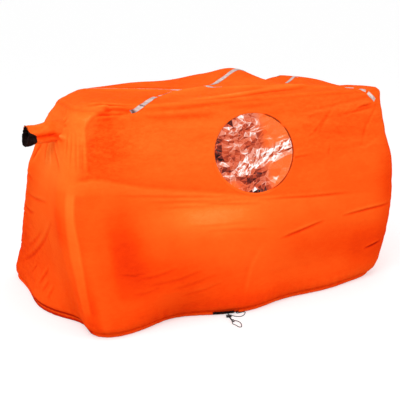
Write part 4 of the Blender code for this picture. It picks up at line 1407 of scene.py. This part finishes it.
def strip(surface, line, half, lift, closed=False, columns=7, sunk=None):
    """A tape of the given half width, laid on the surface along a line of points, with turned-down edges.

    sunk is how far each point of the line goes under the cloth, where folds of it lie over the tape.
    """
    line = np.asarray(line, float)
    if closed:
        way = np.roll(line, -1, axis=0) - np.roll(line, 1, axis=0)
    else:
        way = np.gradient(line, axis=0)
    way /= np.linalg.norm(way, axis=1, keepdims=True)
    across = np.linspace(-half, half, columns)
    across = np.concatenate([across[:1], across, across[-1:]])
    lifts = np.full(len(across), lift)
    lifts[[0, -1]] -= TAPE_THICKNESS * np.sign(lift)
    grid = np.empty((len(line), len(across), 3))
    for k, point in enumerate(line):
        near, normal, _, _ = surface.find_nearest(point)
        side = np.cross(np.array(normal), way[k])
        side /= np.linalg.norm(side)
        for j, (apart, up) in enumerate(zip(across, lifts)):
            found, out, _, _ = surface.find_nearest(Vector(np.array(near) + side * apart))
            out = np.array(out)
            if out @ np.array(normal) < 0:
                out = -out
            depth = 0 if sunk is None else sunk[k]
            grid[k, j] = np.array(found) + out * (up - depth)
    return grid


def stitches(name, line, out, material, body):
    """A row of sewn stitches along a line of points, each a small pointed bead of thread."""
    run, total = run_of(line)
    count = int(total / STITCH_PITCH)
    starts = (np.arange(count) + 0.2) * STITCH_PITCH
    ends = []
    for share in (0.0, 0.3, 0.7, 1.0):
        at = (starts + share * STITCH_LENGTH) / total
        middle = np.column_stack([np.interp(at, run, line[:, k]) for k in range(3)])
        up = np.column_stack([np.interp(at, run, out[:, k]) for k in range(3)])
        ends.append((middle, up / np.linalg.norm(up, axis=1, keepdims=True)))
    way = ends[3][0] - ends[0][0]
    way /= np.linalg.norm(way, axis=1, keepdims=True)
    rows = [ends[0][0][:, None]]
    thick = STITCH_THICKNESS
    for middle, up in ends[1:3]:
        side = np.cross(way, up)
        ring = [side * thick, up * thick * 1.4, -side * thick, -up * thick * 0.4]
        rows.append(np.stack([middle + reach for reach in ring], 1))
    rows.append(ends[3][0][:, None])
    points = np.concatenate(rows, 1).reshape(-1, 3)
    one = []
    for k in range(4):
        following = (k + 1) % 4
        one += [(0, 1 + k, 1 + following), (9, 5 + following, 5 + k)]
        one += [(1 + k, 5 + k, 5 + following), (1 + k, 5 + following, 1 + following)]
    faces = (np.array(one)[None] + 10 * np.arange(count)[:, None, None]).reshape(-1, 3)
    belongs(mesh_piece(name, points, faces, material), body)


# Window film and its sewn edge

# Rows of the edge from inside the hole outward: reach from the rim, height, and how dark it may get
EDGE_ROWS = (
    (-0.0050, -0.0036, 0.60),
    (-0.0036, -0.0008, 0.64),
    (-0.0012, 0.0010, 0.60),
    (0.0012, 0.0015, 0.14),
    (0.0046, 0.0015, 0.04),
    (0.0072, 0.0012, 0.0),
    (0.0084, 0.0001, 0.0),
)
SEAM_ROW = 4


def hole_rim(shell, panel, centre, half, axes, count):
    """The rim of a hole at even angles: points, the way out of the cloth, and height on the skin."""
    ids = shell["holes"][panel]
    flat = (shell["points"][ids][:, axes] - centre) / half
    angle = np.arctan2(flat[:, 1], flat[:, 0])
    normals = shell["normals"][ids]
    lifted = ((shell["points"] - shell["smooth"])[ids] * normals).sum(1)
    values = np.column_stack([shell["points"][ids], normals, lifted])
    wanted = np.linspace(-math.pi, math.pi, count, endpoint=False)
    rim = np.column_stack([np.interp(wanted, angle, column, period=2 * math.pi) for column in values.T])
    return wanted, rim[:, :3], rim[:, 3:6], rim[:, 6]


def film_regions(flat):
    """How calm the film is at places on it, how near its band of glare, and the way of its facets."""
    calm = smooth(flat[:, 0] + 0.05 * flat[:, 1], 0.12, 0.38)
    calm = np.clip(calm + 0.9 * swell(flat, (-0.60, -0.74), (0.22, 0.10)), 0, 1)
    apart, _ = along_line(flat, FILM_GLARE)
    glare = np.exp(-((apart / 0.19) ** 4))
    wander = noise(np.column_stack([flat * 2.2, 0 * flat[:, 0]]), 25)
    return calm, glare, np.radians(20 + 70 * (1 - calm) * wander + 42 * glare * (1 - 0.5 * calm))


def film_corners(rng):
    """Corners of the crumpled film's facets, close together where it is most crumpled."""
    ring = np.linspace(0, 2 * math.pi, 110, endpoint=False)
    edge = FILM_REACH * np.column_stack([np.cos(ring), np.sin(ring)])
    tries = rng.uniform(-1, 1, (11000, 2))
    tries = tries[np.linalg.norm(tries, axis=1) < FILM_EDGE]
    calm, glare, way = film_regions(tries)
    apart = 0.066 + 0.11 * calm * (1 - glare) - 0.010 * glare
    apart *= 1 + 0.55 * noise(np.column_stack([tries * 3.1, 0 * tries[:, 0]]), 37)
    kept = np.empty((0, 2))
    for k, place in enumerate(tries):
        offset = kept - place
        along = offset[:, 0] * math.cos(way[k]) + offset[:, 1] * math.sin(way[k])
        across = offset[:, 1] * math.cos(way[k]) - offset[:, 0] * math.sin(way[k])
        if (np.hypot(along * 0.48, across * 1.75) > apart[k]).all():
            kept = np.vstack([kept, place])
    calm, glare, _ = film_regions(kept)
    height = rng.normal(size=len(kept)) * (0.0030 - 0.0016 * calm * (1 - glare) + 0.0006 * glare)
    height *= 1 - smooth(np.linalg.norm(kept, axis=1), 0.88, FILM_EDGE)
    return np.vstack([edge, kept]), np.concatenate([np.zeros(len(edge)), height - FILM_SAG])


def split_facets(corners, triangles, steps):
    """Each facet split into small triangles that share their points with the next facet's.

    It gives the points, the faces, and for each point the facet edges that it lies on.
    """
    shares = np.array([(i, j, steps - i - j) for i in range(steps + 1) for j in range(steps + 1 - i)])
    number = {tuple(share): k for k, share in enumerate(shares)}
    small = []
    for i, j, k in shares:
        if k > 0:
            small.append([number[i, j, k], number[i + 1, j, k - 1], number[i, j + 1, k - 1]])
        if k > 1:
            small.append([number[i + 1, j, k - 1], number[i + 1, j + 1, k - 2], number[i, j + 1, k - 1]])
    points = np.einsum("sk,nkc->nsc", shares / steps, corners[triangles])
    keys = np.round(points[..., :2] * 1e6).astype(np.int64).reshape(-1, 2)
    _, first, same = np.unique(keys, axis=0, return_index=True, return_inverse=True)
    same = same.reshape(points.shape[:2])
    faces = same[:, np.array(small)].reshape(-1, 3)
    return points.reshape(-1, 3)[first], faces, shares, same


def facet_patches(rng, corners, triangles):
    """How pale each facet is: painted glare from its lean towards the light, chance, and painted glare and
    shade from where it lies on the film.
    """
    middle = corners[triangles][..., :2].mean(axis=1)
    sides = corners[triangles] * (*WINDOW_HALF, 1)
    tilt = np.cross(sides[:, 1] - sides[:, 0], sides[:, 2] - sides[:, 0])
    tilt /= np.linalg.norm(tilt, axis=1, keepdims=True)
    tilt *= np.sign(tilt[:, 2:])
    lean = np.clip((tilt[:, 0] * -0.5 + tilt[:, 1] * 0.8) * 7, -1, 1)
    calm, glare, _ = film_regions(middle)
    mixed = 0.35 * lean + 0.65 * rng.uniform(-1, 1, len(middle))
    broad = noise(np.column_stack([middle * 2.8, 0 * middle[:, 0]]), 39)
    patch = 0.48 + 0.04 * calm + 0.19 * glare * (1 - 0.2 * calm)
    patch += mixed * (0.16 - 0.125 * calm * (1 - glare) + 0.14 * glare)
    patch += 0.12 * broad * (1 - 0.8 * calm)
    for centre, reach, amount in FILM_MARKS:
        patch += amount * swell(middle, centre, reach)
    return np.clip(patch, 0.0, 1.0)


def facet_edge_tones(rng, flat, triangles, shares):
    """Tone of each small point of every facet, from the facet edges that it lies on: painted highlights and
    painted shade along the creases.
    """
    pairs = np.sort(triangles[:, ((1, 2), (2, 0), (0, 1))], axis=2)
    unique, which = np.unique(pairs.reshape(-1, 2), axis=0, return_inverse=True)
    edge_tone = rng.uniform(-0.18, 0.30, len(unique)) * (rng.uniform(0, 1, len(unique)) < 0.50)
    calm, glare, _ = film_regions(flat[unique].mean(axis=1))
    edge_tone *= 1 - 0.80 * calm * (1 - glare)
    on_edge = (shares == 0) / np.maximum((shares == 0).sum(axis=1, keepdims=True), 1)
    return edge_tone[which].reshape(-1, 3) @ on_edge.T


def film_streaks(rng):
    """Lines and amounts of tone: painted highlights along the fold lines, and short streaks of painted
    glint and shade, half of them in the glare.
    """
    streaks = [(line, FOLD_LINE_HIGHLIGHT) for line in FILM_LINES]
    spots = rng.uniform(-0.85, 0.85, (FILM_STREAKS, 2))
    band = np.array(FILM_GLARE)
    across = rng.uniform(-0.17, 0.17, FILM_STREAKS // 2)
    spots[::2, 0] = rng.uniform(band[0, 0], band[-1, 0], FILM_STREAKS // 2)
    spots[::2, 1] = np.interp(spots[::2, 0], band[:, 0], band[:, 1]) + across
    for place in spots:
        calm, glare, way = (float(value[0]) for value in film_regions(place[None]))
        way += rng.normal() * 0.25
        reach = np.array((math.cos(way), math.sin(way))) * rng.uniform(0.06, 0.19)
        amount = rng.choice(STREAK_GLINT_AND_SHADE) * (1 - 0.9 * calm * (1 - glare))
        amount *= 0.62 + 0.38 * glare
        streaks.append(((place - reach, place + 0.2 * reach[::-1] * (1, -1), place + reach), amount))
    return streaks


def build_film(shell, rim, material):
    rng = np.random.default_rng(21)
    flat, height = film_corners(rng)
    _, _, triangles, *_ = delaunay_2d_cdt([Vector(p) for p in flat], [], [], 0, 1e-6)
    triangles = np.array([face for face in triangles if len(face) == 3])
    corners = np.column_stack([flat, height])
    points, faces, shares, same = split_facets(corners, triangles, FILM_STEPS)
    patch = np.repeat(facet_patches(rng, corners, triangles), FILM_STEPS**2)
    tone = np.zeros(len(points))
    tone[same] = facet_edge_tones(rng, flat, triangles, shares)
    for line, amount in film_streaks(rng):
        apart, part = along_line(points[:, :2], line)
        ends = np.sin(np.clip(part, 0.03, 0.97) * math.pi)
        tone += amount * np.exp(-((apart / STREAK_WIDTH) ** 2)) * ends

    angle, _, _, lifted = rim
    radius = np.linalg.norm(points[:, :2], axis=1)
    turn = np.arctan2(points[:, 1], points[:, 0])
    rise = np.interp(turn, angle, lifted, period=2 * math.pi)
    places = points[:, :2] * WINDOW_HALF
    base, normal = front_hits(shell["skin"], places + (WINDOW_X, WINDOW_Z))
    depth = points[:, 2] + 0.0004 * noise(np.column_stack([points[:, :2] * 12, 0 * radius]), 27)
    depth = np.where(radius > FILM_EDGE, -0.0022, depth)
    placed = base + normal * (rise * np.minimum(radius, 1) ** 2 + depth)[:, None]
    calm, glare, _ = film_regions(points[:, :2])
    crumple = 1 - calm * (1 - 0.85 * glare)
    crumple *= 1 - 0.75 * swell(points[:, :2], (-0.72, -0.80), (0.30, 0.16))
    pane = mesh_piece("window_film", placed, faces, material, places, tone, patch=patch, crinkle=crumple)
    belongs(pane, "bag", "window_pane")


def build_window_edge(shell, rim, edging, thread):
    """The cloth's edge turned back round the film, darker on its inner rows round most of the right side of
    the hole.
    """
    angle, loop, out, _ = rim
    radial = np.column_stack([np.cos(angle) * WINDOW_HALF[1], 0 * angle, np.sin(angle) * WINDOW_HALF[0]])
    radial -= out * (radial * out).sum(1)[:, None]
    radial /= np.linalg.norm(radial, axis=1, keepdims=True)
    dark = smooth(angle, -1.40, -1.05) * (1 - smooth(angle, 1.14, 1.26))
    dark *= 1 - np.exp(-(((angle - 0.66) / 0.07) ** 2))
    dark *= 0.75 + 0.35 * noise(np.column_stack([np.cos(angle), np.sin(angle), 0 * angle]) * 3, 29)
    rows, tones = [], []
    for reach, lift, shade in EDGE_ROWS:
        row = loop + radial * reach
        if reach > 0:
            row = np.array([shell["surface"].find_nearest(Vector(point))[0] for point in row])
        rows.append(row + out * lift)
        tones.append(0.60 - shade * dark)
    piece = grid_piece("window_sewn_edge", np.array(rows), edging, around=True, tone=np.array(tones))
    belongs(piece, "bag")
    seam = rows[SEAM_ROW]
    closed = np.vstack([seam, seam[:1]])
    stitches("window_stitching", closed, np.vstack([out, out[:1]]), thread, "bag")


def build_window(shell, film, edging, thread):
    middle = (WINDOW_X, WINDOW_Z)
    rim = hole_rim(shell, "front", middle, WINDOW_HALF, (0, 2), RIM_STEPS)
    build_film(shell, rim, film)
    build_window_edge(shell, rim, edging, thread)


# Breather sleeve and tapes


def build_vent(shell, cloth, black, thread):
    """The crumpled sleeve grows out of the rim of its hole, and its limp black cuff hangs at the end."""
    count = 150
    centre = np.array(end_hit(shell["skin"], VENT_Y, VENT_Z))
    away = np.array((-math.cos(VENT_DROOP), 0, -math.sin(VENT_DROOP)))
    upward = np.cross((0, 1, 0), away)
    middle = (VENT_Y, VENT_Z)
    angle, root, _, _ = hole_rim(shell, "left", middle, VENT_RADIUS + CLOTH, (1, 2), count)
    ring = np.outer(np.cos(angle), (0, 1, 0)) + np.outer(np.sin(angle), upward)
    seam = CUFF_SEAM + CUFF_SEAM_RISE * smooth(np.sin(angle), -0.05, 0.75)
    mouth = SLEEVE_LENGTH + CUFF_LENGTH + 0.003 * noise(ring * 2.6, 67) - 0.002
    mouth = mouth - MOUTH_SLANT * np.sin(angle)
    start = (root - centre) @ away

    def beside(turn):
        apart = (angle - turn + math.pi) % (2 * math.pi) - math.pi
        return np.exp(-((apart / 0.30) ** 2))

    def reach_at(distance):
        """The crumpled sleeve's half width all round, at a distance from the wall, and its wrinkles."""
        distance = distance + 0 * angle
        spot = np.column_stack([np.cos(angle) * 1.7, np.sin(angle) * 1.7, distance / 0.030])
        wrinkle = noise(spot, 61) + 0.5 * noise(spot * 2.1, 63)
        creases = ridged(np.column_stack([ring[:, 1:] * 3.0, distance / 0.020]), 65)
        base = np.interp(distance, VENT_PROFILE[0], VENT_PROFILE[1])
        base = base + 0.010 * np.maximum(np.sin(angle), 0) * np.exp(-(((distance - 0.045) / 0.045) ** 2))
        limp = smooth(distance, 0.105, 0.150)
        base = base * (1 - 0.05 * np.maximum(-np.sin(angle), 0) - 0.20 * limp * np.cos(angle) ** 2)
        hollow = beside(math.pi + 0.12) * smooth(distance, 0.020, 0.045)
        reach = base + (0.0026 + 0.0014 * limp) * wrinkle - 0.0026 * limp * creases
        return reach - 0.0100 * hollow, wrinkle, hollow

    rows, tones = [], []
    own = np.linalg.norm(root - centre - away * start[:, None], axis=1)
    below = beside(math.pi + 0.85)
    for part in np.linspace(0, 1, 64):
        distance = start + part * (seam + 0.002 - start)
        grown = smooth(np.array(part), 0, 0.35)
        reach, wrinkle, hollow = reach_at(distance)
        reach = own * (1 - grown) + reach * grown
        rows.append(centre + away * distance[:, None] + ring * reach[:, None] if part else root)
        # painted light low on the sleeve towards the cuff, painted shade in its hollow crease, and painted
        # light and shade on its wrinkles
        pale = below * grown * smooth(np.array(part), 0.5, 0.9)
        tones.append(0.60 + 0.10 * wrinkle - 0.44 * hollow + 0.18 * pale)
    tones = np.array(tones)[:, ::-1]
    sleeve = grid_piece("sleeve_cloth", np.array(rows)[:, ::-1], cloth, around=True, tone=tones)
    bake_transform(sleeve)
    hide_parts("vent_sleeve")

    course = [(share, True, 0.0010) for share in np.linspace(0, 1, 34)]
    course += [(1.0, True, -0.0008)]
    course += [(share, False, -0.0026) for share in np.linspace(1, 0, 24)]
    rows = []
    for share, outer, lift in course:
        first = seam if outer else mouth - CUFF_TURN_IN
        distance = first + share * (mouth - first)
        rows.append(centre + away * distance[:, None] + ring * (reach_at(distance)[0] + lift)[:, None])
    grid = np.array(rows)
    cuff = grid_piece("cuff_cloth", grid[:, ::-1], black, around=True)
    belongs(cuff, "vent", "vent_cuff")
    line = np.vstack([grid[3], grid[3][:1]]) + np.vstack([ring, ring[:1]]) * 0.0003
    stitches("cuff_stitching", line, np.vstack([ring, ring[:1]]), thread, "vent")


def build_tapes(shell, silver, inner):
    surface = shell["surface"]
    for name, route, lift, node_name in (
        ("tape_a", TAPE_A, 0.0018, "reflective_tape_a"),
        ("tape_b_left", TAPE_B_LEFT, 0.0010, "reflective_tape_b_left"),
        ("tape_b_right", TAPE_B_RIGHT, 0.0010, "reflective_tape_b_right"),
    ):
        line = smooth_route(route, 0.0045)
        run, length = run_of(line)
        sunk = np.zeros(len(line))
        for first, last in TAPE_HIDDEN.get(name, ()):
            under = TAPE_SINK * smooth(line[:, 0], first, first + 0.006)
            sunk = np.maximum(sunk, under * smooth(-line[:, 0], -last, 0.006 - last))
        grid = strip(surface, line, TAPE_HALF, lift, columns=9, sunk=sunk)
        along = (run * length)[:, None] + 0 * grid[..., 0]
        tone = 0.56 + 0.26 * noise(grid.reshape(-1, 3) / 0.018, 71).reshape(along.shape)
        if name == "tape_a":
            across = (np.arange(grid.shape[1]) - 5)[None, :] * 0.0012
            tone -= 0.70 * np.exp(-(((along - 0.010) / 0.010) ** 2))
            tone -= 0.60 * np.exp(-(((along + across - 0.066) / 0.0035) ** 2))
        piece = grid_piece(name, grid, silver, tone=tone)
        belongs(piece, "bag", node_name)

    points, panels = shell["points"], shell["panels"]
    rows = slice(3, -5, 3)
    for name, column in (
        ("front_right", panels["right"][rows, 0]),
        ("back_right", panels["back"][rows, 0]),
        ("back_left", panels["left"][rows, 0]),
        ("front_left", panels["front"][rows, 0]),
    ):
        grid = strip(surface, points[column], INNER_TAPE_HALF, -INNER_TAPE_DEPTH, columns=11)
        piece = grid_piece(f"inner_tape_{name}", grid, inner, tone=0.5 + 0 * grid[..., 0])
        belongs(piece, "bag", f"seam_tape_{name}")
    ring = np.concatenate([panels[name][-2][:-1] for name in PANELS])[::2]
    grid = strip(surface, points[ring], INNER_TAPE_HALF, -INNER_TAPE_DEPTH, closed=True, columns=13)
    grid = grid.transpose(1, 0, 2)
    piece = grid_piece("inner_tape_roof", grid, inner, around=True, tone=0.5 + 0 * grid[..., 0])
    belongs(piece, "bag", "roof_seam_tape")


def build_seams(shell, thread):
    """Rows of stitches along the hem and under the roof."""
    for name, row in (("hem_stitching", 3), ("eave_stitching", -4)):
        ring = np.concatenate([shell["panels"][panel][row][:-1] for panel in PANELS])
        ring = np.concatenate([ring, ring[:1]])
        out = shell["normals"][ring]
        stitches(name, shell["points"][ring] + out * 0.0002, out, thread, "bag")


# Hem, webbing and seats


def level_lines():
    """The lowest line of each wall, in the order of PANELS."""
    return [wall[0] for wall in shell_grids()[0]]


def build_hem(cloth, black):
    """The gathered roll of the hem, from one side of the cord's way out right round to the other."""
    front, right, back, left = level_lines()
    first = front[front[:, 0] > EXIT_RIGHT]
    last = front[front[:, 0] < EXIT_LEFT]
    start = [EXIT_RIGHT, np.interp(EXIT_RIGHT, front[:, 0], front[:, 1]), 0]
    end = [EXIT_LEFT, np.interp(EXIT_LEFT, front[:, 0], front[:, 1]), 0]
    line = np.vstack([[start], first, right[1:], back[1:], left[1:], last[1:], [end]])
    line[:, 2] = ROLL_LEVEL
    ahead = len(line) - len(left) - len(last)
    tucked = np.zeros(len(line))
    left_run, left_length = run_of(left)
    left_run = left_run[1:] * left_length
    tuck = smooth(left_run, 0.25, 0.45) * (1 - smooth(left_run, left_length - 0.05, left_length))
    tucked[ahead : ahead + len(left) - 1] = tuck
    run, length = run_of(line)
    count = int(length / 0.004)
    at = np.linspace(0, 1, count)
    middle = np.column_stack([np.interp(at, run, line[:, k]) for k in range(3)])
    tucked = np.interp(at, run, tucked)
    way = np.gradient(middle, axis=0)
    way /= np.linalg.norm(way, axis=1, keepdims=True)
    out = np.column_stack([way[:, 1], -way[:, 0], np.zeros(count)])
    around = 22
    angle = np.linspace(0, 2 * math.pi, around, endpoint=False)
    along = np.broadcast_to((at * length)[:, None], (count, around))
    turn = np.broadcast_to(angle[None], (count, around))
    spot = np.stack([along / 0.022, np.cos(turn) * 0.6, np.sin(turn) * 0.6], -1).reshape(-1, 3)
    gather = noise(spot, 31) + 0.6 * noise(spot * (2.3, 1, 1), 33)
    gather = gather.reshape(count, around)
    reach = 1 + 0.11 * gather
    across = ROLL_HALF[0] * reach * np.cos(turn)
    up = ROLL_HALF[1] * reach * np.sin(turn)
    middle -= ROLL_TUCK * tucked[:, None] * out
    grid = middle[:, None] + across[..., None] * out[:, None]
    grid[..., 2] += up
    grid[..., 2] = np.maximum(grid[..., 2], 0.0)
    # painted light and shade on the gathers, painted shade on the roll's underside and where it is tucked
    # in under the left end
    tone = 0.42 + 0.12 * gather - 0.16 * smooth(-np.sin(turn), 0.1, 1) - 0.42 * tucked[:, None]
    roll = grid_piece("hem_roll", grid, cloth, around=True, tone=tone)
    belongs(roll, "bag", "hem_channel")

    x = np.linspace(*WEBBING, 45)
    y = np.interp(x, front[:, 0], front[:, 1])
    slope = np.gradient(y, x)
    lean = np.sqrt(1 + slope**2)
    rows = []
    for z, lift in WEBBING_ROWS:
        wave = 0.0005 * np.sin(x / 0.013 * 2 * math.pi)
        rows.append(np.column_stack([x, y - (lift + wave) * lean, np.full(len(x), z)]))
    webbing = grid_piece("hem_webbing", np.array(rows), black)
    belongs(webbing, "bag", "hem_exit_webbing")
    return front, back, line


def build_seats(front, back, material):
    for side, line, way in (("front", front, 1), ("back", back[::-1], -1)):
        inner = line[np.abs(line[:, 0]) < SEAT_LENGTH / 2]
        depths = np.linspace(SEAT_EDGE, SEAT_EDGE + SEAT_DEPTH, 40)
        grid = np.array([inner + (0, way * depth, 0) for depth in depths])
        crease = noise(grid.reshape(-1, 3) / (0.09, 0.05, 1) + (0, 0, 0.5), 41)
        grid[..., 2] = SEAT_LEVEL + 0.0007 * crease.reshape(grid.shape[:2])
        name = f"seat_cloth_{side}"
        seat = grid_piece(name, grid if way > 0 else grid[::-1], material)
        belongs(seat, "bag", f"seat_panel_{side}")


# Cords


def lock_point(distance, offset):
    """A point on the cords' line through the lock, at a distance from the lock's middle."""
    axis = np.array((math.cos(LOCK_HEADING), math.sin(LOCK_HEADING), 0))
    cords = np.array((axis[1], -axis[0], 0))
    return np.array((*LOCK_CENTRE, LOCK_LEVEL)) + cords * distance + axis * offset


def build_cords(front, material):
    ends = {}
    for x, way in ((EXIT_LEFT, 1), (EXIT_RIGHT, -1)):
        y = np.interp(x, front[:, 0], front[:, 1])
        near = np.interp(x - way * 0.02, front[:, 0], front[:, 1])
        step = np.array((way * 0.02, y - near, 0))
        step /= np.linalg.norm(step)
        ends[x] = [np.array((x, y, CHANNEL_LEVEL)) + step * d for d in (0.0010, 0.0025)]
    reach = KNOT_DISTANCE - KNOT_RADII[1] - TOUCH
    made = []
    for name, exit_x, free, offset in (
        ("cord_left_strand", EXIT_LEFT, LEFT_ROUTE, -CORD_PITCH / 2),
        ("cord_right_strand", EXIT_RIGHT, RIGHT_ROUTE, CORD_PITCH / 2),
    ):
        crossing = [lock_point(distance, offset) for distance in (*LOCK_CROSSING, reach)]
        route = [*ends[exit_x], *free, *crossing]
        made.append(braided(name, route, CORD_RADIUS, material))
    tail, tail_line = braided("cord_tail_loop", TAIL_ROUTE, CORD_RADIUS, material)
    knot = build_knot(material)
    for (strand, line), node_name in zip(made, ("drawcord_left_strand", "drawcord_right_strand")):
        belongs(strand, "bag", node_name)
    belongs(tail, "bag", "drawcord_tail_loop")


def build_knot(material):
    """Three turns of cord wound over each other, as one lump of tied cord."""
    across, along, height = KNOT_RADII
    centre = lock_point(KNOT_DISTANCE, KNOT_OFFSET)
    centre[2] = height + TOUCH
    axis = np.array((math.cos(LOCK_HEADING), math.sin(LOCK_HEADING), 0))
    cords = np.array((axis[1], -axis[0], 0))
    t = np.linspace(0, 2 * math.pi, 90)
    path = np.column_stack(
        [
            (along - KNOT_CORD) * np.sin(2 * t) * 0.9,
            (across - KNOT_CORD) * np.cos(3 * t) * 0.95,
            (height - KNOT_CORD) * np.sin(3 * t) * 0.9,
        ]
    )
    points = centre + path[:, :1] * cords + path[:, 1:2] * axis + path[:, 2:] * np.array((0, 0, 1))
    knot, _ = braided("cord_knot", points, KNOT_CORD, material)
    belongs(knot, "bag", "drawcord_knot")
    return knot


def build_hidden_cord(line, material):
    """The drawcord inside the hem, from one side of its way out right round to the other."""
    points = line.copy()
    points[:, 2] = CHANNEL_LEVEL
    points = smooth_route(points[1:-1], 0.006)
    side, up = frames_along(points)
    angle = np.linspace(0, 2 * math.pi, 8, endpoint=False)[None, :, None]
    tube = points[:, None] + CORD_RADIUS * (np.cos(angle) * side[:, None] + np.sin(angle) * up[:, None])
    piece = grid_piece("hem_cord", tube, material, around=True)
    cap_ends(piece)
    belongs(piece, "bag", "drawcord_in_hem")


# Stage, lights and camera


def build_stage():
    material = bpy.data.materials.new("floor")
    material.use_nodes = True
    shader = shader_of(material)
    shader.inputs["Base Color"].default_value = (0.62, 0.62, 0.62, 1)
    shader.inputs["Roughness"].default_value = 0.9
    path = node(material, "LightPath")
    seen = math_node(material, "MULTIPLY", path.outputs["Is Camera Ray"], 0.46)
    shader.inputs["Emission Color"].default_value = (1, 1, 1, 1)
    link(material, seen, "Emission Strength")
    mesh = bpy.data.meshes.new("floor")
    reach = FLOOR_REACH
    corners = [(-reach, -reach, 0), (reach, -reach, 0), (reach, reach, 0), (-reach, reach, 0)]
    mesh.from_pydata(corners, [], [(0, 1, 2, 3)])
    mesh.materials.append(material)
    floor = bpy.data.objects.new("floor", mesh)
    floor.location.z = FLOOR_LEVEL
    PIECES.objects.link(floor)


def build_lights():
    world = bpy.data.worlds.new("studio")
    bpy.context.scene.world = world
    world.use_nodes = True
    tree = world.node_tree
    background = tree.nodes["Background"]
    path = tree.nodes.new("ShaderNodeLightPath")
    strength = tree.nodes.new("ShaderNodeMapRange")
    strength.inputs["To Min"].default_value = 0.82
    strength.inputs["To Max"].default_value = 1.0
    tree.links.new(path.outputs["Is Camera Ray"], strength.inputs["Value"])
    tree.links.new(strength.outputs[0], background.inputs["Strength"])
    background.inputs["Color"].default_value = (1, 1, 1, 1)
    for name, place, size, energy in LAMPS:
        lamp = bpy.data.lights.new(name, "AREA")
        lamp.size = size
        lamp.energy = energy
        obj = bpy.data.objects.new(name, lamp)
        obj.location = place
        aim = Vector(LAMP_AIM) - obj.location
        obj.rotation_mode = "QUATERNION"
        obj.rotation_quaternion = aim.to_track_quat("-Z", "Y")
        PIECES.objects.link(obj)


def build_camera():
    camera = bpy.data.cameras.new("photo_view")
    camera.lens = LENS
    camera.sensor_width = SENSOR
    obj = bpy.data.objects.new("photo_view", camera)
    obj.location = CAMERA_PLACE
    obj.rotation_euler = (math.pi / 2 - CAMERA_DOWN, 0, CAMERA_HEADING)
    PIECES.objects.link(obj)
    bpy.context.scene.camera = obj


def main():
    build_camera()
    build_lights()
    build_stage()
    orange = shelter_cloth("coated_nylon", ORANGE_STOPS)
    inner = shelter_cloth("taped_seam", TAPE_STOPS)
    black = black_cloth("black_nylon")
    seat = black_cloth("seat_nylon", pitch=0.0016)
    cord = cord_material()
    plastic = plastic_material("black_plastic", (0.018, 0.018, 0.02), 0.4)
    steel = plastic_material("spring_steel", (0.55, 0.55, 0.56), 0.35, metallic=1.0)
    thread = thread_material("orange_thread", (0.72, 0.07, 0.012))
    black_thread = thread_material("black_thread", (0.02, 0.018, 0.018))
    shell = build_shell(orange)
    build_window(shell, film_material(), shelter_cloth("window_edging", RIM_STOPS), thread)
    build_vent(shell, orange, black, black_thread)
    build_tapes(shell, reflective_material(), inner)
    build_seams(shell, thread)
    front, back, line = build_hem(orange, black)
    build_hidden_cord(line, cord)
    build_seats(front, back, seat)
    build_cords(front, cord)
    for name, finish in (("barrel", plastic), ("plunger", plastic), ("spring", steel)):
        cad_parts[f"cord_lock_{name}"].material_slots[0].material = finish
    bpy.context.scene.view_settings.view_transform = "Standard"


main()
